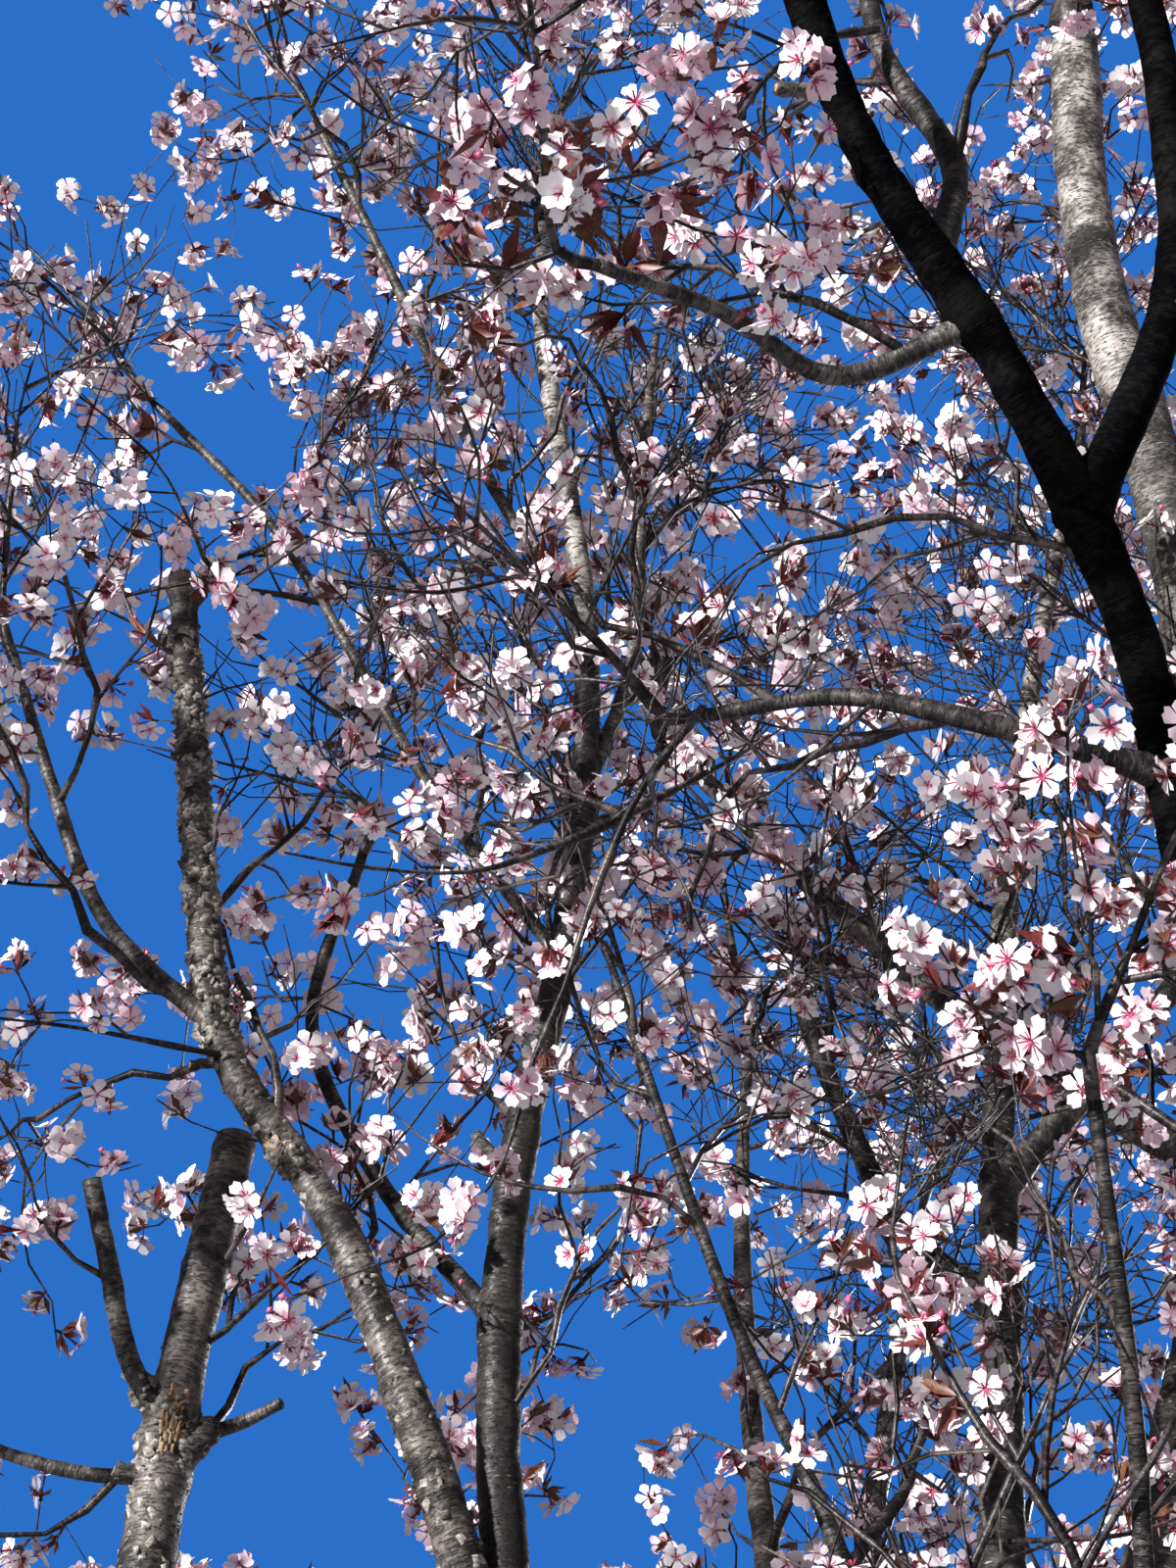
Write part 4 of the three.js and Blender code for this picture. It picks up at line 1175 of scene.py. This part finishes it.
LIPS_PER_AREA = 1900
LIPS_OUT_OF_FRAME = 0.1
LIP_STRETCH = (0.04, 0.99)  # from where to where along a limb
LIP_WIDTH = (0.008, 0.026)
LIP_WIDEST_SHARE = 0.8
LIP_HEIGHT = (0.002, 0.004)
LIP_LIFT = (0.0008, 0.0022)
LIP_ROOT = 0.0006  # how deep its edge goes into the bark
FLAKES = {
    "crossing_bough_upper": dict(limb="crossing_bough", low=0.5, high=0.93, count=620, lift=(0.002, 0.008)),
    "crossing_bough_lower": dict(limb="crossing_bough", low=0.05, high=0.5, count=150, lift=(0.001, 0.004)),
    "left_bough_knee": dict(limb="left_bough", low=0.7, high=0.84, count=130, lift=(0.001, 0.005)),
    "left_stub_foot": dict(limb="left_stub", low=0.0, high=0.3, count=50, lift=(0.001, 0.004)),
    "trunk_sides": dict(limb="trunk", low=0.08, high=0.9, count=420, lift=(0.002, 0.006)),
    "right_bough_foot": dict(limb="right_bough", low=0.05, high=0.35, count=120, lift=(0.001, 0.005)),
    "back_right_foot": dict(limb="back_right_bough", low=0.05, high=0.3, count=120, lift=(0.001, 0.005)),
}
FLAKE_SIZE = (0.006, 0.019)
FLAKE_ROOT = 0.0012
FLAKE_TURN = 0.7
FLAKE_SKEW = 0.35
FLAKE_TIP_SHARE = 0.7
SCARS = {
    "torn_limb": dict(limb="left_bough", at=(172, 1462), width=0.034, height=0.085),
    "knee_wound": dict(limb="crossing_bough", at=(292, 1185), width=0.02, height=0.03),
}
SLIVERS = 46
SLIVER_LIFT = (0.001, 0.006)
SLIVER_SIZE = (0.003, 0.007)
SLIVER_TURN = 0.12
SLIVER_STRETCH = 5.0
SCAR_EDGE_SHARE = 0.62
SCAR_EDGE_LIFT = (0.003, 0.009)
SCAR_EDGE_SIZE = (0.008, 0.018)
STUBS = {
    "pale_chip": dict(limb="left_bough", at=(128, 1505), length=0.02, radius=0.014, lean=0.1),
    "cut_limb": dict(limb="left_bough", at=(200, 1490), length=0.035, radius=0.02, lean=0.5),
    "beside_top": dict(limb="crossing_bough", at=(198, 650), length=0.1, radius=0.009, lean=0.92),
    "thumb": dict(limb="crossing_bough", at=(226, 1000), length=0.1, radius=0.008, lean=0.9),
    "low_peg": dict(limb="crossing_bough", at=(205, 1090), length=0.03, radius=0.008, lean=0.2),
    "leader_peg": dict(limb="leader_bough", at=(500, 1190), length=0.05, radius=0.009, lean=0.5),
    "black_peg": dict(limb="front_right_bough", at=(820, 100), length=0.05, radius=0.009, lean=0.2),
}
STUB_SHAPE = np.array([1.5, 1.15, 1, 0.97, 1.02, 0.95])  # shares of a stub's radius, from its foot to its end
STUB_SIDES = 9
STUB_SINK_SHARE = 0.8
STUB_WANDER_SHARE = 0.12
CUT_LIMBS = ["left_bough", "crossing_bough", "left_stub"]
CUT_CORNERS = 16
HEARTWOOD_SHARE = 0.45
OUT_OF_SIGHT = 1000  # pixels added to a spot that faces away from the camera


def spots_at(name, rows, columns):
    """Places on a limb's bark: the point, the ways out, round and along, and the radius there."""
    grid = bark_grids[name]
    place = grid[rows, columns]
    along = unit(grid[rows + 1, columns] - grid[rows - 1, columns])
    outward = unit(place - grid[rows].mean(1))
    outward = unit(outward - along * (outward * along).sum(1, keepdims=True))
    radius = np.linalg.norm(place - grid[rows].mean(1), axis=1)
    return place, outward, np.cross(along, outward), along, radius


def random_spots(name, low, high, count):
    grid = bark_grids[name]
    rows = rng.integers(max(1, int(low * len(grid))), max(2, int(high * len(grid)) - 1), count)
    return spots_at(name, rows, rng.integers(0, grid.shape[1], count))


def spot_in_photo(name, at):
    """The spot of a limb's bark that faces the photograph's camera nearest to a pixel."""
    grid = bark_grids[name]
    x, y, _ = photo_pixels(grid[1:-1].reshape(-1, 3))
    outward = unit((grid[1:-1] - grid[1:-1].mean(1, keepdims=True)).reshape(-1, 3))
    towards_eye = (outward * unit(EYE - grid[1:-1].reshape(-1, 3))).sum(1)
    far = np.hypot(x - at[0], y - at[1]) + np.where(towards_eye > 0.2, 0, OUT_OF_SIGHT)
    row, column = divmod(int(np.argmin(far)), grid.shape[1])
    return spots_at(name, np.array([row + 1]), np.array([column]))


def moved_on_bark(spots, shift, rise):
    """The spots' places, moved round the limb and along it."""
    place, outward, round_, along, radius = spots
    sunk = (shift**2 / (2 * radius))[:, None]
    return place + round_ * shift[:, None] + along * rise[:, None] - outward * sunk


def add_lips(pile, spots):
    """Lenticels: low pale ridges that run round the limb."""
    place, outward, round_, along, radius = spots
    count = len(place)
    width = np.minimum(rng.uniform(*LIP_WIDTH, count), radius * LIP_WIDEST_SHARE)[:, None]
    height = rng.uniform(*LIP_HEIGHT, count)[:, None]
    drop = outward * (width**2 / (8 * radius[:, None]) + LIP_ROOT)
    crest = place + outward * rng.uniform(*LIP_LIFT, count)[:, None]
    points = np.stack([
        place - round_ * width / 2 - drop, place - along * height / 2 - outward * LIP_ROOT,
        place + round_ * width / 2 - drop, place + along * height / 2 - outward * LIP_ROOT, crest,
    ], 1)
    pile.tile(points, fan(4, 4), points)


def add_flakes(pile, spots, lift, sizes, turn=None, stretch=1.0):
    """Plates that are rooted at one edge and stand off the limb at the other."""
    place, outward, round_, along, radius = spots
    count = len(place)

    def drawn(low, high):
        return rng.uniform(low, high, count)[:, None]

    if turn is None:
        turn = rng.choice([0, math.pi], count) + rng.normal(0, FLAKE_TURN, count)
    c, s = np.cos(turn)[:, None], np.sin(turn)[:, None]
    side, up = round_ * c + along * s, along * c - round_ * s
    width, length = drawn(*sizes), drawn(*sizes) * stretch
    drop = outward * (width**2 / (8 * radius[:, None]) + FLAKE_ROOT)
    lifted = outward * drawn(*lift)
    top = place + up * length + side * width * drawn(-FLAKE_SKEW, FLAKE_SKEW)
    half = side * width * 0.5
    share = drawn(0.25, 0.5)
    left, right = side * width * share, side * width * (FLAKE_TIP_SHARE - share)
    points = np.stack([
        place - half - drop, place + half - drop, top + right + lifted,
        top - left + lifted * drawn(0.4, 1), top + right - drop * 2, top - left - drop * 2,
    ], 1)
    pile.tile(points, [(0, 1, 2), (0, 2, 3), (3, 2, 4), (3, 4, 5), (1, 4, 2), (0, 3, 5)], points)


def cut_face(pile, centre, heading, radius, corners=CUT_CORNERS):
    """The sawn end of a limb: heartwood, then sapwood a little lower, on a rim of bark."""
    side = side_of(heading, 0)
    ring = round_about(side[None], np.cross(heading, side)[None], round_angles(corners))[0]
    outer = centre + ring * radius * rng.uniform(0.93, 1.03, (corners, 1)) - heading * 0.0015
    inner = centre + ring * radius * HEARTWOOD_SHARE + heading * rng.uniform(0.0004, 0.0016, (corners, 1))
    points = np.vstack([outer, inner, centre + heading * 0.0004])
    pairs = [(i, (i + 1) % corners) for i in range(corners)]
    faces = [(i, j, corners + j) for i, j in pairs] + [(i, corners + j, corners + i) for i, j in pairs]
    faces += [(corners + i, corners + j, 2 * corners) for i, j in pairs]
    pile.add(points, np.array(faces), points - centre)


def bark_details():
    """The pieces on the bark: name, pile and material."""
    lips, silver_lips, flakes, stubs, wood = Pile(), Pile(), Pile(), Pile(), Pile()
    for name in BOUGHS + SHADE_LOW_LIMBS + SILVER_LIMBS:
        length = path_lengths(runs[name])[-1]
        count = int(LIPS_PER_AREA * length * math.tau * limb_radius(name, 0.5))
        spots = random_spots(name, *LIP_STRETCH, count)
        kept = in_frame(spots[0]) | (rng.random(count) < LIPS_OUT_OF_FRAME)
        add_lips(lips if name in BOUGHS + SHADE_LOW_LIMBS[:1] else silver_lips, [part[kept] for part in spots])
    for flake in FLAKES.values():
        spots = random_spots(flake["limb"], flake["low"], flake["high"], flake["count"])
        add_flakes(flakes, spots, flake["lift"], FLAKE_SIZE)
    for scar in SCARS.values():
        spots = [np.repeat(part, SLIVERS, 0) for part in spot_in_photo(scar["limb"], scar["at"])]
        _, outward, round_, along, radius = spots
        shift = rng.uniform(-0.5, 0.5, SLIVERS) * scar["width"]
        rise = rng.uniform(-0.5, 0.5, SLIVERS) * scar["height"]
        moved = moved_on_bark(spots, shift, rise)
        outward = unit(outward + round_ * (shift / radius)[:, None])
        add_flakes(wood, [moved, outward, round_, along, radius], SLIVER_LIFT, SLIVER_SIZE,
                   rng.normal(0, SLIVER_TURN, SLIVERS), SLIVER_STRETCH)
        edge = rng.uniform(0, math.tau, SLIVERS)
        moved = moved_on_bark(spots, np.cos(edge) * scar["width"] * SCAR_EDGE_SHARE,
                              np.sin(edge) * scar["height"] * SCAR_EDGE_SHARE)
        add_flakes(flakes, [moved, *spots[1:]], SCAR_EDGE_LIFT, SCAR_EDGE_SIZE)
    for stub in STUBS.values():
        place, outward, _, along, _ = [part[0] for part in spot_in_photo(stub["limb"], stub["at"])]
        heading = unit(outward * (1 - stub["lean"]) + along * stub["lean"])
        start = place - outward * stub["radius"] * STUB_SINK_SHARE
        points = start + heading * np.linspace(0, stub["length"] + stub["radius"], len(STUB_SHAPE))[:, None]
        points += rng.normal(0, stub["radius"] * STUB_WANDER_SHARE, points.shape)
        radii = stub["radius"] * STUB_SHAPE
        rough = rng.uniform(0.9, 1.1, (len(radii), STUB_SIDES))
        verts, faces = tube(points, radii[:, None] * rough, STUB_SIDES)
        stubs.add(verts, faces, verts)
        cut_face(wood, points[-1], unit(points[-1] - points[-2]), radii[-1] * 0.9, STUB_SIDES)
    for name in CUT_LIMBS:
        heading = unit(runs[name][-1] - runs[name][-2])
        cut_face(wood, runs[name][-1] + heading * (LIMB_OVERRUN + 0.001), heading, LIMBS[name]["tip"] * 0.96)
    return [("bark_lips", lips, "bark_brown"), ("bark_lips_silver", silver_lips, "bark_silver"),
            ("bark_flakes", flakes, "bark_flakes"), ("broken_stubs", stubs, "bark_brown"),
            ("torn_and_cut_wood", wood, "torn_wood")]


# ---- materials ----

# Waves to the metre, across the limb (x and y) and along it.
PATCH_WAVES = (15, 15, 19)
GRAIN_WAVES = (85, 85, 150)
CRACK_WAVES = (62, 62, 330)
LIP_SHIFT = 0.42  # how far the pale lips lie beside the cracks
BARK_RELIEF = 0.003
MOTTLE_SCALE = 260
SOFT_RELIEF = 0.0008
# Barks: dark, mid and light colour, roughness, and where they differ how strong the cracks and lips and the
# relief are and how it shines. The last entry is painted shade low down on the limb: at which length the
# dark stretch ends, its fade, how dark it is.
BARKS = {
    "bark_brown": dict(dark=(0.009, 0.0072, 0.0068), mid=(0.05, 0.042, 0.038), light=(0.175, 0.152, 0.136),
                       roughness=0.42, marks=0.7, relief=0.7, gloss=0.4),
    "bark_silver": dict(dark=(0.04, 0.035, 0.032), mid=(0.17, 0.153, 0.14), light=(0.4, 0.37, 0.34),
                        roughness=0.45),
    # Dark bark: painted shade for the branches that stand in shade under the crown.
    "bark_shaded_dark": dict(dark=(0.004, 0.0035, 0.0035), mid=(0.018, 0.015, 0.0145), light=(0.085, 0.072, 0.068),
                      roughness=0.5),
    "bark_leader": dict(dark=(0.012, 0.01, 0.01), mid=(0.15, 0.135, 0.125), light=(0.42, 0.39, 0.36),
                        roughness=0.42, marks=0.7, relief=0.7, gloss=0.25, painted_shade_below=(3.15, 0.35, 0.93)),
    "bark_silver_trunk": dict(dark=(0.04, 0.035, 0.032), mid=(0.17, 0.153, 0.14), light=(0.42, 0.39, 0.36),
                              roughness=0.45, painted_shade_below=(3.9, 0.35, 0.8)),
    "bark_right_bough": dict(dark=(0.012, 0.01, 0.01), mid=(0.13, 0.115, 0.105), light=(0.36, 0.33, 0.3),
                             roughness=0.45, marks=0.7, relief=0.7, painted_shade_below=(2.75, 0.4, 0.85)),
    # Near-black bark: painted shade for the limbs that stand in shade under the crown.
    "bark_shaded_black": dict(dark=(0.0008, 0.0008, 0.0012), mid=(0.0018, 0.0018, 0.0024),
                       light=(0.007, 0.0064, 0.0066), roughness=0.6, marks=0.4, relief=0.5, gloss=0.02),
    "bark_twigs": dict(dark=(0.004, 0.003, 0.0035), mid=(0.014, 0.0095, 0.01), light=(0.1, 0.082, 0.078),
                       roughness=0.36, marks=0.5, relief=0.3),
    "bark_flakes": dict(dark=(0.05, 0.044, 0.037), mid=(0.2, 0.18, 0.155), light=(0.45, 0.42, 0.37),
                        roughness=0.5, marks=0.2),
    "torn_wood": dict(dark=(0.06, 0.03, 0.014), mid=(0.3, 0.18, 0.09), light=(0.58, 0.42, 0.26),
                      roughness=0.6, marks=0.2, relief=0.5),
}


def new_material(name):
    material = bpy.data.materials.new(name)
    material.use_nodes = True
    return material, material.node_tree, material.node_tree.nodes["Principled BSDF"]


def set_inputs(tree, node, inputs):
    """Link each input to the socket given for it, or else give it the value."""
    for name, value in inputs.items():
        if isinstance(value, bpy.types.NodeSocket):
            tree.links.new(value, node.inputs[name])
        else:
            node.inputs[name].default_value = value


def add_node(tree, kind, inputs, output=0, operation=None):
    node = tree.nodes.new("ShaderNode" + kind)
    if operation:
        node.operation = operation
    set_inputs(tree, node, inputs)
    return node.outputs[output]


def add_noise(tree, vector, scale, detail, stretch=(1, 1, 1), shift=(0, 0, 0)):
    place = add_node(tree, "Mapping", {"Scale": stretch, "Location": shift, "Vector": vector})
    return add_node(tree, "TexNoise", {"Scale": scale, "Detail": detail, "Vector": place}, "Fac")


def add_ramp(tree, factor, stops):
    ramp = tree.nodes.new("ShaderNodeValToRGB")
    elements = ramp.color_ramp.elements
    for i, (place, colour) in enumerate(stops):
        element = elements[i] if i < 2 else elements.new(place)
        element.position = place
        element.color = (*colour, 1)
    tree.links.new(factor, ramp.inputs["Fac"])
    return ramp.outputs["Color"]


def add_blend(tree, mask, below, above, amount):
    """The colour below, with the plain colour above laid over it where the mask is white."""
    share = add_node(tree, "Math", {0: mask, 1: amount}, operation="MULTIPLY")
    return add_node(tree, "MixRGB", {"Fac": share, "Color1": below, "Color2": (*above, 1)})


def add_weighted(tree, one, two, weight):
    return add_node(tree, "Math", {0: one, 1: weight, 2: two}, operation="MULTIPLY_ADD")


def grey(value):
    return (value, value, value)


def bark_material(name, dark, mid, light, roughness, marks=0.9, relief=0.8, gloss=0.3, painted_shade_below=None):
    """Rough bark in patches, with short dark cracks and pale lips beside them that run round the limb."""
    material, tree, shader = new_material(name)
    place = tree.nodes.new("ShaderNodeAttribute")
    place.attribute_name = "bark_place"
    vector = place.outputs["Vector"]
    patches = add_noise(tree, vector, 1, 5, PATCH_WAVES)
    grain = add_noise(tree, vector, 1, 7, GRAIN_WAVES)
    shade = add_weighted(tree, grain, patches, 0.6)
    colour = add_ramp(tree, shade, [(0.67, dark), (0.93, light), (0.78, mid)])
    cracks = add_noise(tree, vector, 1, 2, CRACK_WAVES)
    lips = add_noise(tree, vector, 1, 2, CRACK_WAVES, (0, 0, LIP_SHIFT))
    crack_mask = add_ramp(tree, cracks, [(0.57, grey(0)), (0.62, grey(1))])
    lip_mask = add_ramp(tree, lips, [(0.61, grey(0)), (0.66, grey(1))])
    colour = add_blend(tree, lip_mask, colour, [min(1, c * 1.35 + 0.01) for c in light], marks * 0.75)
    colour = add_blend(tree, crack_mask, colour, [c * 0.3 for c in dark], marks)
    # Painted shade: the bark's dark colour laid over the limb low down, fading out at a given length along
    # it.
    if painted_shade_below:
        end, fade, darkness = painted_shade_below
        length = add_node(tree, "SeparateXYZ", {"Vector": vector}, "Z")
        low = add_node(tree, "MapRange", {"From Min": end + fade, "From Max": end, "Value": length}, "Result")
        colour = add_blend(tree, low, colour, dark, darkness)
    shine = add_ramp(tree, shade, [(0.65, grey(min(1, roughness * 1.4))), (0.95, grey(roughness * 0.85))])
    height = add_weighted(tree, crack_mask, add_weighted(tree, lip_mask, grain, 1.6), -1.0)
    normal = add_node(tree, "Bump", {"Strength": relief, "Distance": BARK_RELIEF, "Height": height})
    set_inputs(tree, shader, {"Base Color": colour, "Roughness": shine, "Specular IOR Level": gloss,
                              "Normal": normal})
    return material


def soft_material(name, colour, other, roughness):
    """The surface of a petal, leaf or stalk: two close colours in fine mottling."""
    material, tree, shader = new_material(name)
    place = tree.nodes.new("ShaderNodeTexCoord").outputs["Object"]
    fine = add_noise(tree, place, MOTTLE_SCALE, 3)
    normal = add_node(tree, "Bump", {"Strength": 0.12, "Distance": SOFT_RELIEF, "Height": fine})
    set_inputs(tree, shader, {"Base Color": add_ramp(tree, fine, [(0.35, colour), (0.65, other)]),
                              "Roughness": roughness, "Normal": normal})
    return material


# ---- pieces ----

BOUGHS = ["trunk", "left_bough", "back_left_bough", "front_left_bough", "crossing_bough", "left_stub"]
SHADE_LOW_LIMBS = ["leader_bough", "back_right_bough", "right_bough"]  # dark low down with painted shade, and pale higher up
SILVER_LIMBS = ["back_right_outer_branch"]
# Limbs in near-black bark, which is painted shade.
SHADED_BLACK_LIMBS = ["front_right_bough", "front_right_fork"]
# Branches in dark bark, which is painted shade.
SHADED_DARK_LIMBS = ["leader_low_branch", "front_right_low_branch", "right_low_branch", "front_right_grey_branch",
              "front_right_near_branch", "right_inner_branch"]
OTHER_LIMBS = [n for n in runs if n not in SHADED_BLACK_LIMBS + SILVER_LIMBS + SHADED_DARK_LIMBS + BOUGHS + SHADE_LOW_LIMBS]
barks = {name: bark_material(name, **look) for name, look in BARKS.items()}
mass_names = [m["name"] for m in masses]
for piece_name, names, bark in (
    ("bark_brown_boughs", BOUGHS, "bark_brown"),
    ("bark_leader", SHADE_LOW_LIMBS[:1], "bark_leader"),
    ("bark_silver_trunk", SHADE_LOW_LIMBS[1:2], "bark_silver_trunk"),
    ("bark_right_bough", SHADE_LOW_LIMBS[2:], "bark_right_bough"),
    ("bark_shaded_dark_limbs", SHADED_DARK_LIMBS, "bark_shaded_dark"),
    ("bark_silver_limbs", SILVER_LIMBS, "bark_silver"),
    ("bark_shaded_black_limbs", SHADED_BLACK_LIMBS, "bark_shaded_black"),
    ("bark_branches", OTHER_LIMBS, "bark_brown"),
):
    pile = Pile()
    for name in names:
        pile.add(*bark_mesh(name, list(runs).index(name)))
    make_piece(piece_name, pile, barks[bark], names)
for piece_name, pile, bark in bark_details():
    make_piece(piece_name, pile, barks[bark])
for piece_name, pile in (("twigs", twig_pile), ("spurs", spur_pile)):
    make_piece(piece_name, pile, barks["bark_twigs"], mass_names)
# The blossom's pieces: pile, material, its two colours and its roughness.
for piece_name, pile, *look in (
    ("petals_white", petal_piles[0], "petals_white", (0.95, 0.88, 0.91), (0.96, 0.92, 0.94), 0.5),
    ("petals_pale", petal_piles[1], "petals_pale", (0.93, 0.79, 0.85), (0.95, 0.86, 0.9), 0.5),
    ("petals_pink", petal_piles[2], "petals_pink", (0.89, 0.64, 0.74), (0.92, 0.74, 0.82), 0.5),
    ("petal_bases_pale", base_piles[0], "petal_bases_pale", (0.9, 0.66, 0.73), (0.93, 0.76, 0.81), 0.5),
    ("petal_bases_deep", base_piles[1], "petal_bases_deep", (0.83, 0.45, 0.56), (0.88, 0.58, 0.68), 0.5),
    ("flower_hearts", heart_pile, "flower_hearts", (0.3, 0.02, 0.07), (0.45, 0.06, 0.15), 0.6),
    ("sepals_and_stalks", stalk_pile, "stalks", (0.13, 0.008, 0.02), (0.24, 0.025, 0.04), 0.5),
    ("buds", bud_pile, "buds", (0.55, 0.08, 0.2), (0.72, 0.2, 0.34), 0.45),
    ("young_leaves_red", leaf_piles[0], "leaves_red", (0.08, 0.01, 0.012), (0.18, 0.028, 0.022), 0.45),
    ("young_leaves_bronze", leaf_piles[1], "leaves_bronze", (0.08, 0.03, 0.014), (0.18, 0.065, 0.03), 0.45),
):
    make_piece(piece_name, pile, soft_material(*look), mass_names)


# ---- stage, light and camera ----

FLOOR_HALF = 14
FLOOR_LEVEL = -0.002
FLOOR_COLOUR = (0.56, 0.57, 0.59, 1)
SKY_LIGHT = (0.1, 0.108, 0.135, 1)
SKY_SEEN = (0.024, 0.16, 0.58, 1)
SUNS = {
    "key": dict(towards=(-0.7, -0.69, 0.16), strength=8.2, softness=3, colour=(1.0, 0.98, 0.97)),
    "rim": dict(towards=(0.5, 0.75, 0.4), strength=1.4, softness=12, colour=(0.97, 0.97, 1.0)),
}
SENSOR_HEIGHT = 36

floor_mesh = bpy.data.meshes.new("floor")
corners = [(x * FLOOR_HALF, y * FLOOR_HALF, FLOOR_LEVEL) for x, y in ((-1, -1), (1, -1), (1, 1), (-1, 1))]
floor_mesh.from_pydata(corners, [], [(0, 1, 2, 3)])
floor = bpy.data.objects.new("floor", floor_mesh)
bpy.context.scene.collection.objects.link(floor)
floor_material, floor_tree, floor_shader = new_material("floor")
set_inputs(floor_tree, floor_shader, {"Base Color": FLOOR_COLOUR, "Roughness": 0.9})
floor_mesh.materials.append(floor_material)

world = bpy.data.worlds.new("studio")
world.use_nodes = True
sky_tree = world.node_tree
light = sky_tree.nodes["Background"]
light.inputs["Color"].default_value = SKY_LIGHT
seen_sky = add_node(sky_tree, "Background", {"Color": SKY_SEEN})
to_camera = add_node(sky_tree, "LightPath", {}, "Is Camera Ray")
sky = add_node(sky_tree, "MixShader", {"Fac": to_camera, 1: light.outputs["Background"], 2: seen_sky})
sky_tree.links.new(sky, sky_tree.nodes["World Output"].inputs["Surface"])
bpy.context.scene.world = world

for name, sun in SUNS.items():
    data = bpy.data.lights.new(name, "SUN")
    data.energy = sun["strength"]
    data.angle = math.radians(sun["softness"])
    data.color = sun["colour"]
    lamp = bpy.data.objects.new(name, data)
    lamp.rotation_euler = (-Vector(sun["towards"])).to_track_quat("-Z", "Y").to_euler()
    bpy.context.scene.collection.objects.link(lamp)

camera_data = bpy.data.cameras.new("camera")
camera_data.sensor_fit = "VERTICAL"
camera_data.sensor_height = SENSOR_HEIGHT
camera_data.lens = SENSOR_HEIGHT * FOCAL_PIXELS / PHOTO_HEIGHT
camera = bpy.data.objects.new("camera", camera_data)
camera.location = EYE
camera.rotation_euler = (math.radians(90) + PITCH, 0, 0)
bpy.context.scene.collection.objects.link(camera)
bpy.context.scene.camera = camera
bpy.context.scene.view_settings.view_transform = "Standard"
